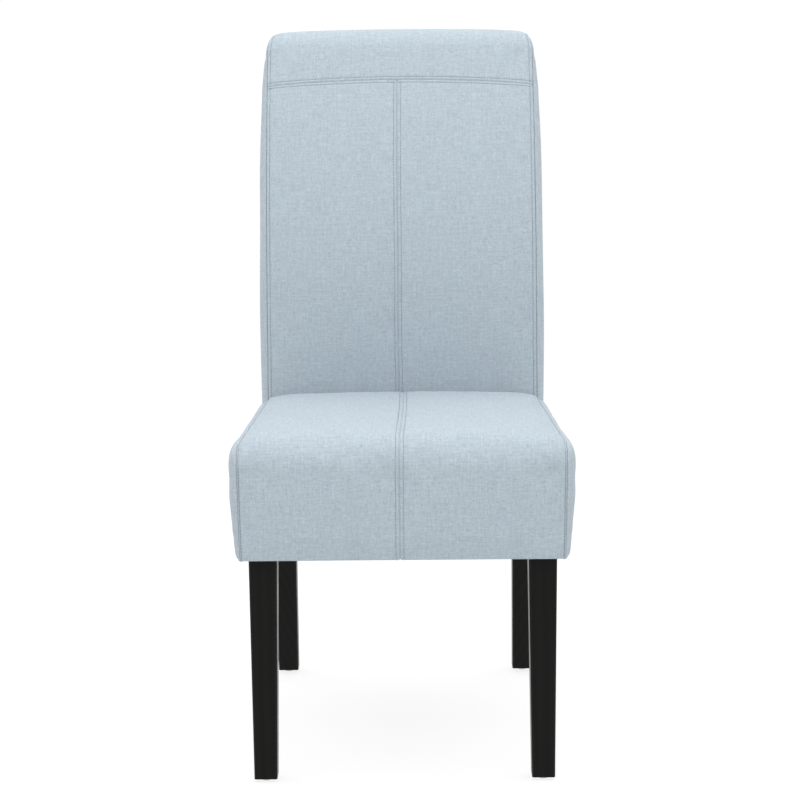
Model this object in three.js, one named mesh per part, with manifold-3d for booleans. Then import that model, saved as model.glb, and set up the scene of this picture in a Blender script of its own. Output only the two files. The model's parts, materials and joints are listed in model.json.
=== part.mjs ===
// A parsons dining chair with a T-stitched, fully upholstered seat and back, in millimetres, +Z up.
// It faces -Y, +X is to the right of someone looking at its front, and it stands on z = 0.
// While it is built, y = 0 is the plane of the seat's front seams. The last lines centre it.
// The upholstery is two closed surfaces, the seat's and the back's, written as grids of points. Each fabric
// panel is a patch of such a grid with the thickness of the cloth, and the padding is what the same
// surface holds once it is drawn in by that thickness, cut to the frame.

import * as THREE from "three";
import { mergeVertices } from "three/addons/utils/BufferGeometryUtils.js";
import Module from "manifold-3d";

const wasm = await Module();
wasm.setup();

// Seat, as it is seen
const seatBottomHeight = 316.5;
const seatEdgeHeight = 471;
const seatFrontHalf = 221.5;
const seatFrontDrawnIn = 2.5;
const seatNoseRadius = 30;
const seatTopRoll = 10;
const seatTopCrown = 4;
const seatFrontRoll = 3;
const seatFrontCrown = 2.5;
const seatEdgeRollWidth = 34;
const seatSideBulge = 17.5;
const seatSideTopRollWidth = 34;
const seatSideFrontRollWidth = 66;
const seatSideRearRollWidth = 26;
const seatSideBottomBulge = 10;
const seatSideFullShare = 0.5;
const seatSideRearShare = 0.3;

// Back, as it is seen
const backHalf = 207.5;
const backTopDrawnIn = 2.5;
const backCentreDepth = 469;
const backLeanSlope = 0.03;
const backStraightLength = 286;
const backBendRadius = 1035;
const backLineLength = 693;
const backEdgeThickness = 62;
const backFrontRoll = 5.5;
const backFrontCrown = 2.5;
const backRearRoll = 2.5;
const backRearCrown = 1.5;
const backTopRollHeight = 31;
const backTopRoll = 9;
const backTopCornerDrawnIn = 4;
const backTopCrown = 3.5;
const backEdgeRollWidth = 22;
const backSideBulge = 12;
const backSideFade = 60;
const backSideTopRollWidth = 34;
const backKick = 14;
const backKickLength = 160;
const backTuckDepth = 18;
const backSideBulgeLowShare = 0.62;

// Seams and cloth
const fabricThickness = 1.2;
const restGap = 0.3;
const junctionGap = 0.8;
const hemWidth = 12;
const seamValleyWidth = 7;
const seamValleyDepth = 1.6;
const topBandLength = 54;
const crossSeamDrop = 8;

// Frame
const railHeightShare = 0.615;
const frontRailThickness = 18;
const sideRailThickness = 20;
const frontPadding = 3;
const seatSidePadding = 5;
const postThickness = 28;
const backSidePadding = 8.5;
const backFoamThickness = 30;
const rearWaddingThickness = 4;
const linerThickness = 2;
const postTopMargin = 20;
const crossRailThickness = 20;
const backLowerRailClearance = 53;
const backLowerRailHeight = 65;
const backTopRailHeight = 45;
const cornerBlockSize = 62;
const cornerBlockHeightShare = 0.42;
const cornerBlockCut = 20;

// Webbing
const webbingThickness = 1.5;
const seatWebbingWidth = 50;
const seatWebbingPitch = 95;
const seatWebbingCount = 3;
const backWebbingWidth = 50;
const backWebbingClearance = 75;
const backWebbingPitch = 135;
const backWebbingCount = 3;
const webbingOverlap = 12;
const webbingRampMargin = 4;

// Legs, glides and fixings
const legTopWidth = 38.5;
const legFootWidth = 31.6;
const legArris = 2;
const legInset = 27;
const legFootOutset = 1.5;
const legSetback = 17;
const rearLegTopOffset = 3;
const rearLegRakeLength = 100;
const rearLegRakeWidening = 1.05;
const glideRadius = 9;
const glideFlatRadius = 5;
const glideHeight = 4.5;
const nailRadius = 1.2;
const nailLength = 13;
const nailPoint = 3;
const boltRadius = 4;
const frontBoltInLeg = 36;
const rearBoltInLeg = 24;
const boltAboveNut = 4;
const boltInset = 6;
const rearBoltOffset = 13;
const nutHeight = 7;
const nutAcross = 13;
const nutFlangeRadius = 9;
const nutFlangeHeight = 1.6;
const nutSides = 6;
const insertRadius = 6.2;
const insertLength = 24;
const dustCoverThickness = 0.8;

// Steps of the grids, as shares of the stretches that they divide
const seatFrontShares = [0, 0.12, 0.4, 0.75, 1];
const seatTopShares = [0.14, 0.36, 0.62, 0.86, 0.95, 1];
const noseSteps = 4;
const backLowShares = [0, 0.52];
const backLineShares = [0, 0.1, 0.25, 0.4, 0.55, 0.7, 0.86];
const bandRowShare = 0.55;
const rollSteps = 6;
const edgeRollShares = [0.12, 0.45];
const innerWidthShares = [0.36, 0.72];
const seamGapShare = 0.5;
const cutOverrun = 60;
const roundSides = 14;
const frameStations = 14;
const glideDomeShares = [[0, 0], [0.62, 0.25], [0.93, 0.6], [1, 1]];

// Derived places
const postHalf = backHalf - backSidePadding;
const frontRailHalf = seatFrontHalf - seatSidePadding;
const legCentre = frontRailHalf - legInset;
const crossSeamLength = backLineLength - topBandLength;
const seatHeight = seatEdgeHeight - seatBottomHeight;
const railHeight = seatHeight * railHeightShare;
const cornerBlockHeight = railHeight * cornerBlockHeightShare;
const lining = fabricThickness + restGap;
const frameBottom = seatBottomHeight + lining;
const railTop = frameBottom + railHeight;
const webbingBottom = railTop + restGap;
const webbingStep = webbingThickness + restGap;
const seatFoamBottom = webbingBottom + webbingStep + webbingThickness + restGap;
const frontRailFront = lining + frontPadding;
const frontRailBack = frontRailFront + frontRailThickness;
const legTop = seatBottomHeight - restGap;
const backHalfThickness = backEdgeThickness / 2;
const backFrontSurface = backHalfThickness + backFrontRoll + backFrontCrown;
const backRearSurface = backHalfThickness + backRearRoll + backRearCrown;
const seatDepth = backCentreDepth - backFrontSurface;
const tuckLength = seatHeight - backTuckDepth;
const rearLegTopSetback = backCentreDepth - rearLegTopOffset;
const rearLegFootSetback = rearLegTopSetback + rearLegRakeLength;
const rearBoltSetback = backCentreDepth + rearBoltOffset;
const postFront = -backFrontSurface + lining + backFoamThickness;
const postRear = backRearSurface - lining - rearWaddingThickness - linerThickness - 2 * restGap;
const postEndLength = backLineLength - postTopMargin;
const backSeamHalf = (share) => backHalf - backTopDrawnIn * share;

const fabricLook = { color: 0xb9c8d3, roughness: 0.92, metalness: 0 };
const foamLook = { color: 0xf0e6c8, roughness: 0.95, metalness: 0 };
const waddingLook = { color: 0xf4f4f2, roughness: 1, metalness: 0 };
const frameWoodLook = { color: 0xc9a878, roughness: 0.8, metalness: 0 };
const legWoodLook = { color: 0x171512, roughness: 0.38, metalness: 0 };
const webbingLook = { color: 0x26262a, roughness: 0.85, metalness: 0 };
const linerLook = { color: 0x9a8d78, roughness: 0.9, metalness: 0 };
const dustCoverLook = { color: 0x1c1c1e, roughness: 0.95, metalness: 0 };
const steelLook = { color: 0xb8bcc0, roughness: 0.35, metalness: 1 };
const glideLook = { color: 0xc8c8c6, roughness: 0.5, metalness: 0 };

const chair = new THREE.Group();

function addPiece(name, geometry, look) {
  const piece = new THREE.Mesh(geometry, new THREE.MeshStandardMaterial(look));
  piece.name = name;
  chair.add(piece);
}

// Booleans

function toSolid(geometry) {
  const bare = geometry.clone();
  bare.deleteAttribute("normal");
  bare.deleteAttribute("uv");
  const merged = mergeVertices(bare);
  return new wasm.Manifold(new wasm.Mesh({
    numProp: 3,
    vertProperties: Float32Array.from(merged.attributes.position.array),
    triVerts: Uint32Array.from(merged.index.array),
  }));
}

function toGeometry(solid) {
  const mesh = solid.getMesh();
  const geometry = new THREE.BufferGeometry();
  geometry.setAttribute("position", new THREE.BufferAttribute(Float32Array.from(mesh.vertProperties), 3));
  geometry.setIndex(new THREE.BufferAttribute(Uint32Array.from(mesh.triVerts), 1));
  return geometry;
}

// Plain shapes

function boxBetween(low, high) {
  const size = new THREE.Vector3().subVectors(high, low);
  const geometry = new THREE.BoxGeometry(size.x, size.y, size.z);
  return geometry.translate((low.x + high.x) / 2, (low.y + high.y) / 2, (low.z + high.z) / 2);
}

// A side outline, points of (y, z), extruded along X from one place to another
function extrudeAcross(outline, fromX, toX) {
  const shape = new THREE.Shape(outline.map((point) => new THREE.Vector2(point.y, point.z)));
  const geometry = new THREE.ExtrudeGeometry(shape, { depth: toX - fromX, bevelEnabled: false });
  const turned = new THREE.Matrix4().makeBasis(
    new THREE.Vector3(0, 1, 0), new THREE.Vector3(0, 0, 1), new THREE.Vector3(1, 0, 0));
  return geometry.applyMatrix4(turned).translate(fromX, 0, 0);
}

// A plan outline, points of (x, y), extruded upwards
function extrudeUp(outline, fromZ, toZ) {
  const shape = new THREE.Shape(outline.map((point) => new THREE.Vector2(point.x, point.y)));
  const geometry = new THREE.ExtrudeGeometry(shape, { depth: toZ - fromZ, bevelEnabled: false });
  return geometry.translate(0, 0, fromZ);
}

function uprightCylinder(radius, fromZ, toZ, x, y, sides = roundSides) {
  const geometry = new THREE.CylinderGeometry(radius, radius, toZ - fromZ, sides);
  return geometry.rotateX(Math.PI / 2).translate(x, y, (fromZ + toZ) / 2);
}

// The room that an upright round piece takes, with its gap, for cutting out of what it goes through
function roomFor(radius, fromZ, toZ, x, y) {
  return toSolid(uprightCylinder(radius + restGap, fromZ, toZ, x, y));
}

// A closed body from a list of corner points and a list of faces, each a loop that runs anticlockwise
// when it is seen from outside
function bodyFromFaces(points, faces) {
  const geometry = new THREE.BufferGeometry();
  const positions = points.flatMap((point) => [point.x, point.y, point.z]);
  geometry.setAttribute("position", new THREE.Float32BufferAttribute(positions, 3));
  const index = [];
  for (const face of faces) {
    for (let corner = 1; corner + 1 < face.length; corner += 1) {
      index.push(face[0], face[corner], face[corner + 1]);
    }
  }
  geometry.setIndex(index);
  return geometry;
}

// Forms of the upholstery

// A quarter ellipse: 0 at an edge, 1 from one roll width on
function edgeRoll(distance, width) {
  const share = Math.min(Math.max(distance / width, 0), 1);
  return Math.sqrt(1 - (1 - share) ** 2);
}

// A sewn valley: 1 on the seam, 0 from one valley width on
function valley(distance) {
  const share = Math.min(Math.abs(distance) / seamValleyWidth, 1);
  return (1 - share) ** 2;
}

function mix(from, to, share) {
  return from + (to - from) * share;
}

// Columns across a covering panel, from the left seam to the right one, as shares of the half width
function columnsAcross(halfWidth, rollWidth) {
  const fromEdge = edgeRollShares.map((share) => 1 - share * rollWidth / halfWidth);
  const rollEnd = 1 - rollWidth / halfWidth;
  const inner = innerWidthShares.map((share) => share * rollEnd);
  const valleyEnd = seamValleyWidth / halfWidth;
  const right = [valleyEnd, ...inner, rollEnd, ...fromEdge.reverse(), 1];
  return [...right.map((share) => -share).reverse(), 0, ...right];
}

const seatColumns = columnsAcross(seatFrontHalf, seatEdgeRollWidth);
const backColumns = columnsAcross(backHalf, backEdgeRollWidth);
const middleColumn = (seatColumns.length - 1) / 2;

// The back's centre line, by the length along it from the bottom: straight with a slight lean, then bent
// rearwards. The sections are level as far as the line is straight, and turn with the bend.
function backLine(length) {
  const leanAngle = Math.atan(backLeanSlope);
  const straight = Math.min(length, backStraightLength);
  const bend = Math.max(length - backStraightLength, 0) / backBendRadius;
  const angle = leanAngle + bend;
  const leanBelowSeat = seatHeight * backLeanSlope;
  const y = backCentreDepth - leanBelowSeat + straight * Math.sin(leanAngle)
    + backBendRadius * (Math.cos(leanAngle) - Math.cos(angle));
  const z = seatBottomHeight + straight * Math.cos(leanAngle)
    + backBendRadius * (Math.sin(angle) - Math.sin(leanAngle));
  return { y, z, bend };
}

// A point off the centre line: so far behind it, and so far further up
function beside(length, behind, above = 0) {
  const line = backLine(length);
  return {
    y: line.y + Math.cos(line.bend) * behind + Math.sin(line.bend) * above,
    z: line.z - Math.sin(line.bend) * behind + Math.cos(line.bend) * above,
  };
}

function kickAt(length) {
  const share = Math.max(1 - length / backKickLength, 0);
  return backKick * share ** 2;
}

// How far a covering panel stands out from the line of its side seams
function panelHeight(across, halfWidth, rollWidth, roll, crown) {
  const fromSeam = (1 - Math.abs(across)) * halfWidth;
  return roll * edgeRoll(fromSeam, rollWidth) + crown * (1 - across ** 2);
}

// Front of the back at a share of the half width, at a length along the centre line
function backFrontPoint(across, length) {
  const share = length / backLineLength;
  const half = backSeamHalf(share);
  const seamShift = crossSeamDrop * across ** 2 * crossSeamWeight(length);
  const nearTop = Math.max(1 - (backLineLength - length) / backSideFade, 0);
  const roll = mix(backFrontRoll, backTopRoll, nearTop ** 2);
  const crown = mix(backFrontCrown, backTopCrown, nearTop ** 2);
  const seams = Math.max(valley(length - crossSeamLength),
    length < crossSeamLength ? valley(across * half) : 0);
  const height = panelHeight(across, half, backEdgeRollWidth, roll, crown) - seams * seamValleyDepth;
  const point = beside(length - seamShift, -backHalfThickness - height);
  return new THREE.Vector3(across * half, point.y, point.z);
}

// The cross seam bows down towards the sides, and the rows near it follow
function crossSeamWeight(length) {
  const reach = backLineLength - crossSeamLength;
  return Math.max(1 - Math.abs(length - crossSeamLength) / reach, 0);
}

function backRearPoint(across, length) {
  const share = length / backLineLength;
  const half = backSeamHalf(share);
  const nearTop = Math.max(1 - (backLineLength - length) / backSideFade, 0);
  const roll = mix(backRearRoll, backTopRoll, nearTop ** 2);
  const crown = mix(backRearCrown, backTopCrown, nearTop ** 2);
  const height = panelHeight(across, half, backEdgeRollWidth, roll, crown)
    - valley(length - crossSeamLength) * seamValleyDepth;
  const point = beside(length, backHalfThickness + kickAt(length) + height);
  return new THREE.Vector3(across * half, point.y, point.z);
}

// The top roll, by the angle from its front edge over the top to its rear edge
function backRollPoint(across, angle) {
  const half = backSeamHalf(1) - backTopCornerDrawnIn * Math.sin(angle);
  const height = panelHeight(across, half, backEdgeRollWidth, backTopRoll, backTopCrown);
  const behind = -Math.cos(angle) * (backHalfThickness + height);
  const above = Math.sin(angle) * (backTopRollHeight + height);
  const point = beside(backLineLength, behind, above);
  return new THREE.Vector3(across * half, point.y, point.z);
}

const seatHalfAt = (y, z) => {
  const drawnIn = seatFrontDrawnIn * (1 - (z - seatBottomHeight) / seatHeight);
  return mix(seatFrontHalf, backHalf, y / seatDepth) - drawnIn * (1 - y / seatDepth);
};

// Top of the seat at a share of the way from the nose to the back
function seatTopPoint(across, share) {
  const end = backFrontPoint(across, seatHeight).y;
  const y = mix(seatNoseRadius, end, share);
  const half = seatHalfAt(y, seatEdgeHeight);
  const height = panelHeight(across, half, seatEdgeRollWidth, seatTopRoll, seatTopCrown)
    - valley(across * half) * seamValleyDepth;
  return new THREE.Vector3(across * half, y, seatEdgeHeight + height);
}

// The rounded nose, from 0 at the front to a right angle at the top
function seatNosePoint(across, angle) {
  const share = angle / (Math.PI / 2);
  const roll = mix(seatFrontRoll, seatTopRoll, share);
  const crown = mix(seatFrontCrown, seatTopCrown, share);
  const z = seatEdgeHeight - seatNoseRadius * (1 - Math.sin(angle));
  const y = seatNoseRadius * (1 - Math.cos(angle));
  const half = seatHalfAt(y, z);
  const height = panelHeight(across, half, seatEdgeRollWidth, roll, crown)
    - valley(across * half) * seamValleyDepth;
  return new THREE.Vector3(across * half, y - Math.cos(angle) * height, z + Math.sin(angle) * height);
}

function seatFrontPoint(across, share) {
  const rise = seatEdgeHeight - seatNoseRadius - seatBottomHeight;
  const z = seatBottomHeight + rise * share;
  const half = seatHalfAt(0, z);
  const fromHem = edgeRoll(rise * share, seatEdgeRollWidth);
  const height = panelHeight(across, half, seatEdgeRollWidth, seatFrontRoll, seatFrontCrown) * fromHem
    - valley(across * half) * seamValleyDepth * fromHem;
  return new THREE.Vector3(across * half, -height, z);
}

// Rows of the seat's covering strip, from the front hem to the back
const seatHemHalf = seatHalfAt(0, seatBottomHeight) - hemWidth;
const seatRows = [
  (across) => new THREE.Vector3(across * seatHemHalf, hemWidth, seatBottomHeight),
  ...seatFrontShares.map((share) => (across) => seatFrontPoint(across, share)),
  ...Array.from({ length: noseSteps }, (_, step) => (across) =>
    seatNosePoint(across, (step + 1) / noseSteps * Math.PI / 2)),
  ...seatTopShares.map((share) => (across) => seatTopPoint(across, share)),
];
const seatStrip = seatRows.map((row) => seatColumns.map(row));

// Rows up the back, with three rows for the cross seam and one for the tuck behind the seat
const backLengths = [
  ...backLowShares.map((share) => share * tuckLength),
  ...backLineShares.map((share) => mix(tuckLength, crossSeamLength - seamValleyWidth, share)),
  crossSeamLength - seamValleyWidth,
  crossSeamLength,
  crossSeamLength + seamValleyWidth,
  mix(crossSeamLength + seamValleyWidth, backLineLength, bandRowShare),
  backLineLength,
];
const tuckRow = backLowShares.length;
const crossSeamRow = backLengths.indexOf(crossSeamLength);
const acrossBack = (pointAt, along) => backColumns.map((across) => pointAt(across, along));
const rollAngles = Array.from({ length: rollSteps + 1 }, (_, step) => step / rollSteps * Math.PI);
const backFrontGrid = backLengths.map((length) => acrossBack(backFrontPoint, length));
const backRearGrid = backLengths.map((length) => acrossBack(backRearPoint, length));
const backRollGrid = rollAngles.slice(1, -1).map((angle) => acrossBack(backRollPoint, angle));
const rearHemY = backRearPoint(1, 0).y - hemWidth;
const backHemRow = backColumns.map((across) =>
  new THREE.Vector3(across * (backHalf - hemWidth), rearHemY, seatBottomHeight));

// Side panel of the back, front to rear in columns and bottom to top in rows. Its top row is the end of
// the top roll, and a hem row comes first.
function backSideGrid(side) {
  const roll = rollAngles.map((angle) => backRollPoint(side, angle));
  const rows = backLengths.map((length) => {
    const front = backFrontPoint(side, length);
    const rear = backRearPoint(side, length);
    const belowTop = backLineLength - length;
    const follow = Math.max(1 - belowTop / backSideFade, 0) ** 2;
    const rise = mix(backSideBulgeLowShare, 1, Math.sin(Math.PI * length / backLineLength));
    const bulge = backSideBulge * rise * edgeRoll(belowTop, backSideTopRollWidth);
    return roll.map((rollPoint, step) => {
      const share = step / rollSteps;
      const point = new THREE.Vector3().lerpVectors(front, rear, share);
      const chord = new THREE.Vector3().lerpVectors(roll[0], roll[rollSteps], share);
      point.add(new THREE.Vector3().subVectors(rollPoint, chord).multiplyScalar(follow));
      point.x += side * bulge * Math.sqrt(1 - (2 * share - 1) ** 2);
      return point;
    });
  });
  const hem = rows[0].map((point) => {
    const share = (point.y - rows[0][0].y) / (rows[0][rollSteps].y - rows[0][0].y);
    const inwards = mix(Math.abs(point.x) - hemWidth, backHalf - hemWidth, share ** 4);
    return new THREE.Vector3(side * inwards, mix(point.y, point.y - hemWidth, share), seatBottomHeight);
  });
  return [hem, ...rows];
}

// Side panel of the seat, in the same order. Its front column and top row meet in the middle of the nose.
function seatSideGrid(side) {
  const noseMiddle = 1 + seatFrontShares.length + noseSteps / 2;
  const edge = seatRows.map((row) => row(side));
  const front = edge.slice(1, noseMiddle);
  const top = edge.slice(noseMiddle - 1);
  const corner = front[front.length - 1];
  const end = top[top.length - 1];
  const rows = front.map((frontPoint) => {
    const rise = (frontPoint.z - seatBottomHeight) / (corner.z - seatBottomHeight);
    return top.map((topPoint) => {
      const run = (topPoint.y - corner.y) / (end.y - corner.y);
      const rearZ = mix(seatBottomHeight, end.z, rise);
      const rearY = backFrontPoint(side, rearZ - seatBottomHeight).y;
      const bottomY = mix(front[0].y, backFrontPoint(side, 0).y, run);
      const y = mix(bottomY, topPoint.y, rise) + mix(frontPoint.y, rearY, run)
        - mix(mix(front[0].y, backFrontPoint(side, 0).y, run), mix(corner.y, end.y, run), rise);
      const z = mix(seatBottomHeight, topPoint.z, rise) + mix(frontPoint.z, rearZ, run)
        - mix(seatBottomHeight, mix(corner.z, end.z, run), rise);
      const onFront = run === 0;
      const onTop = rise === 1;
      const fromFront = edgeRoll(y - frontPoint.y, seatSideFrontRollWidth);
      const fromTop = edgeRoll(topPoint.z - z, seatSideTopRollWidth);
      const fromRear = edgeRoll(rearY - y, seatSideRearRollWidth);
      const full = mix(seatSideBottomBulge, seatSideBulge, Math.min(rise / seatSideFullShare, 1));
      const bulge = onFront || onTop ? 0 : full * fromFront * fromTop * mix(seatSideRearShare, 1, fromRear);
      return new THREE.Vector3(side * (seatHalfAt(y, z) + bulge), y, z);
    });
  });
  const frontEnd = rows[0][0].y;
  const rearEnd = rows[0][top.length - 1].y;
  const hem = rows[0].map((point) => {
    const share = (point.y - frontEnd) / (rearEnd - frontEnd);
    const y = mix(point.y + hemWidth, point.y, share);
    return new THREE.Vector3(side * (Math.abs(point.x) - hemWidth), y, seatBottomHeight);
  });
  return [hem, ...rows];
}

const seatSides = { left: seatSideGrid(-1), right: seatSideGrid(1) };
const backSides = { left: backSideGrid(-1), right: backSideGrid(1) };
const backStrip = [...backFrontGrid, ...backRollGrid, ...[...backRearGrid].reverse(), backHemRow];

// Drawing in by the cloth's thickness

function pointKey(point) {
  return `${point.x.toFixed(3)} ${point.y.toFixed(3)} ${point.z.toFixed(3)}`;
}

// The inward move, for one millimetre of thickness, at each point of a surface made of several grids.
// Where panels meet at an angle it is longer, so that both keep their thickness.
function inwardMoves(grids) {
  const normals = new Map();
  for (const { rows, flipped } of grids) {
    for (let row = 0; row + 1 < rows.length; row += 1) {
      for (let column = 0; column + 1 < rows[row].length; column += 1) {
        const first = rows[row][column];
        const across = rows[row][column + 1];
        const opposite = rows[row + 1][column + 1];
        const up = rows[row + 1][column];
        const rising = new THREE.Vector3().subVectors(opposite, first);
        const falling = new THREE.Vector3().subVectors(up, across);
        const normal = rising.cross(falling).normalize().multiplyScalar(flipped ? -1 : 1);
        for (const corner of [first, across, opposite, up]) {
          const key = pointKey(corner);
          normals.set(key, [...(normals.get(key) ?? []), normal]);
        }
      }
    }
  }
  const moves = new Map();
  for (const [key, list] of normals) {
    const mean = list.reduce((sum, normal) => sum.add(normal), new THREE.Vector3()).normalize();
    const reach = list.reduce((sum, normal) => sum + normal.dot(mean), 0) / list.length;
    moves.set(key, mean.multiplyScalar(-1 / reach));
  }
  return moves;
}

function drawnIn(point, moves, distance) {
  return point.clone().addScaledVector(moves.get(pointKey(point)), distance);
}

// Two closed surfaces: the seat, and the back with the top roll
const seatGrids = [
  { rows: seatStrip, flipped: false },
  { rows: seatSides.left, flipped: true },
  { rows: seatSides.right, flipped: false },
];
const backGrids = [
  { rows: backStrip, flipped: false },
  { rows: backSides.left, flipped: true },
  { rows: backSides.right, flipped: false },
];
const seatMoves = inwardMoves(seatGrids);
const backMoves = inwardMoves(backGrids);

// Triangles over a grid whose rows run towards the next row, seen from outside
function gridFaces(rowCount, columnCount, indexOf, flipped, addTriangle) {
  for (let row = 0; row + 1 < rowCount; row += 1) {
    for (let column = 0; column + 1 < columnCount; column += 1) {
      const first = indexOf(row, column);
      const across = indexOf(row, column + 1);
      const opposite = indexOf(row + 1, column + 1);
      const up = indexOf(row + 1, column);
      addTriangle(first, flipped ? opposite : across, flipped ? across : opposite);
      addTriangle(first, flipped ? up : opposite, flipped ? opposite : up);
    }
  }
}

// One panel of cloth: the patch of a grid, its inner face and the cut edges. The edges that meet
// another panel are drawn back, so that a seam keeps its gap.
function clothPanel(rows, moves, flipped, edgeGaps) {
  const rowCount = rows.length;
  const columnCount = rows[0].length;
  const outer = rows.map((row) => row.map((point) => point.clone()));
  const drawBack = (row, column, nextRow, nextColumn, gap) => {
    const towards = new THREE.Vector3().subVectors(rows[nextRow][nextColumn], rows[row][column]);
    outer[row][column].addScaledVector(towards.normalize(), gap);
  };
  for (let column = 0; column < columnCount; column += 1) {
    drawBack(0, column, 1, column, edgeGaps.firstRow);
    drawBack(rowCount - 1, column, rowCount - 2, column, edgeGaps.lastRow);
  }
  for (let row = 0; row < rowCount; row += 1) {
    drawBack(row, 0, row, 1, edgeGaps.firstColumn);
    drawBack(row, columnCount - 1, row, columnCount - 2, edgeGaps.lastColumn);
  }
  const inner = outer.map((row, r) => row.map((point, c) =>
    point.clone().addScaledVector(moves.get(pointKey(rows[r][c])), fabricThickness)));
  const positions = [...outer.flat(), ...inner.flat()].flatMap((point) => [point.x, point.y, point.z]);
  const outerIndex = (row, column) => row * columnCount + column;
  const innerIndex = (row, column) => rowCount * columnCount + outerIndex(row, column);
  const index = [];
  const addTriangle = (a, b, c) => index.push(a, b, c);
  gridFaces(rowCount, columnCount, outerIndex, flipped, addTriangle);
  gridFaces(rowCount, columnCount, innerIndex, !flipped, addTriangle);
  const edge = [];
  for (let column = 0; column + 1 < columnCount; column += 1) edge.push([0, column]);
  for (let row = 0; row + 1 < rowCount; row += 1) edge.push([row, columnCount - 1]);
  for (let column = columnCount - 1; column > 0; column -= 1) edge.push([rowCount - 1, column]);
  for (let row = rowCount - 1; row > 0; row -= 1) edge.push([row, 0]);
  edge.forEach((from, step) => {
    const to = edge[(step + 1) % edge.length];
    const corners = [outerIndex(...from), innerIndex(...from), innerIndex(...to), outerIndex(...to)];
    const [a, b, c, d] = flipped ? corners.reverse() : corners;
    index.push(a, b, c, a, c, d);
  });
  const geometry = new THREE.BufferGeometry();
  geometry.setAttribute("position", new THREE.Float32BufferAttribute(positions, 3));
  geometry.setIndex(index);
  return geometry;
}

// The closed body that a surface holds at a distance inside it. Each cap closes an open loop of points,
// given in order, and is seen along the axis that its plan leaves out.
function bodyInside(grids, moves, distance, caps) {
  const positions = [];
  const indices = new Map();
  const indexAt = (point) => {
    const key = pointKey(point);
    if (!indices.has(key)) {
      indices.set(key, positions.length / 3);
      positions.push(...drawnIn(point, moves, distance).toArray());
    }
    return indices.get(key);
  };
  const index = [];
  for (const { rows, flipped } of grids) {
    gridFaces(rows.length, rows[0].length, (row, column) => indexAt(rows[row][column]), flipped,
      (a, b, c) => index.push(a, b, c));
  }
  for (const { loop, planOf, outwardSign } of caps) {
    const keys = loop.map(pointKey);
    const corners = loop.filter((_, step) => keys[step] !== keys[(step + 1) % keys.length]);
    const plan = corners.map(planOf);
    for (const triangle of THREE.ShapeUtils.triangulateShape(plan, [])) {
      const [a, b, c] = triangle.map((corner) => plan[corner]);
      const turn = (b.x - a.x) * (c.y - a.y) - (b.y - a.y) * (c.x - a.x);
      const ordered = turn * outwardSign > 0 ? triangle : [...triangle].reverse();
      index.push(...ordered.map((corner) => indexAt(corners[corner])));
    }
  }
  const geometry = new THREE.BufferGeometry();
  geometry.setAttribute("position", new THREE.Float32BufferAttribute(positions, 3));
  geometry.setIndex(index);
  return toSolid(geometry);
}

const seenFromBelow = { planOf: (point) => new THREE.Vector2(point.x, point.y), outwardSign: -1 };
const seenFromBehind = { planOf: (point) => new THREE.Vector2(point.x, point.z), outwardSign: -1 };

// The hem rows are left out, so each body ends at the bottom edge of the upholstery
const withoutHem = ({ rows, flipped }) => ({ rows: rows.slice(1), flipped });
const lastOf = (list) => list[list.length - 1];

function seatBody(distance) {
  const [strip, left, right] = seatGrids.map(withoutHem);
  const bottom = [...strip.rows[0], ...right.rows[0], ...[...left.rows[0]].reverse()];
  const rear = [
    ...right.rows.map(lastOf),
    ...[...lastOf(strip.rows)].reverse(),
    ...left.rows.map(lastOf).reverse(),
  ];
  return bodyInside([strip, left, right], seatMoves, distance, [
    { loop: bottom, ...seenFromBelow },
    { loop: rear, ...seenFromBehind },
  ]);
}

function backBody(distance) {
  const strip = { rows: backStrip.slice(0, -1), flipped: false };
  const [left, right] = backGrids.slice(1).map(withoutHem);
  const bottom = [
    ...strip.rows[0],
    ...right.rows[0],
    ...[...lastOf(strip.rows)].reverse(),
    ...[...left.rows[0]].reverse(),
  ];
  return bodyInside([strip, left, right], backMoves, distance, [{ loop: bottom, ...seenFromBelow }]);
}

const seatPadding = seatBody(lining);
const backPadding = backBody(lining);
const backRoom = backBody(-restGap);

// Fabric

const halfSeamGap = restGap * seamGapShare;
const seamGaps = {
  firstRow: halfSeamGap,
  lastRow: halfSeamGap,
  firstColumn: halfSeamGap,
  lastColumn: halfSeamGap,
};

function addSeatFabric() {
  const halves = {
    left: seatStrip.map((row) => row.slice(0, middleColumn + 1)),
    right: seatStrip.map((row) => row.slice(middleColumn)),
  };
  const coverGaps = { ...seamGaps, firstRow: 0, lastRow: junctionGap };
  const sideGaps = { ...seamGaps, firstRow: 0, lastColumn: junctionGap };
  for (const side of ["left", "right"]) {
    const cover = clothPanel(halves[side], seatMoves, false, coverGaps);
    addPiece(`seat_cover_${side}`, cover, fabricLook);
    const panel = clothPanel(seatSides[side], seatMoves, side === "left", sideGaps);
    addPiece(`seat_side_panel_${side}`, panel, fabricLook);
  }
}

function addBackFabric() {
  const lowRows = backStrip.slice(tuckRow, crossSeamRow + 1);
  const bandEnd = backFrontGrid.length + backRollGrid.length + (backLengths.length - 1 - crossSeamRow);
  const bandRows = backStrip.slice(crossSeamRow, bandEnd + 1);
  const rearRows = backStrip.slice(bandEnd);
  const halves = {
    left: lowRows.map((row) => row.slice(0, middleColumn + 1)),
    right: lowRows.map((row) => row.slice(middleColumn)),
  };
  for (const side of ["left", "right"]) {
    addPiece(`back_cover_${side}`, clothPanel(halves[side], backMoves, false, seamGaps), fabricLook);
    const panel = clothPanel(backSides[side], backMoves, side === "left", seamGaps);
    addPiece(`back_side_panel_${side}`, panel, fabricLook);
  }
  addPiece("back_top_band", clothPanel(bandRows, backMoves, false, seamGaps), fabricLook);
  addPiece("back_rear_panel", clothPanel(rearRows, backMoves, false, seamGaps), fabricLook);
}

// Outlines that follow the back's centre line, each a list of points of (y, z)

const lowestStation = lining / Math.cos(Math.atan(backLeanSlope));

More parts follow.
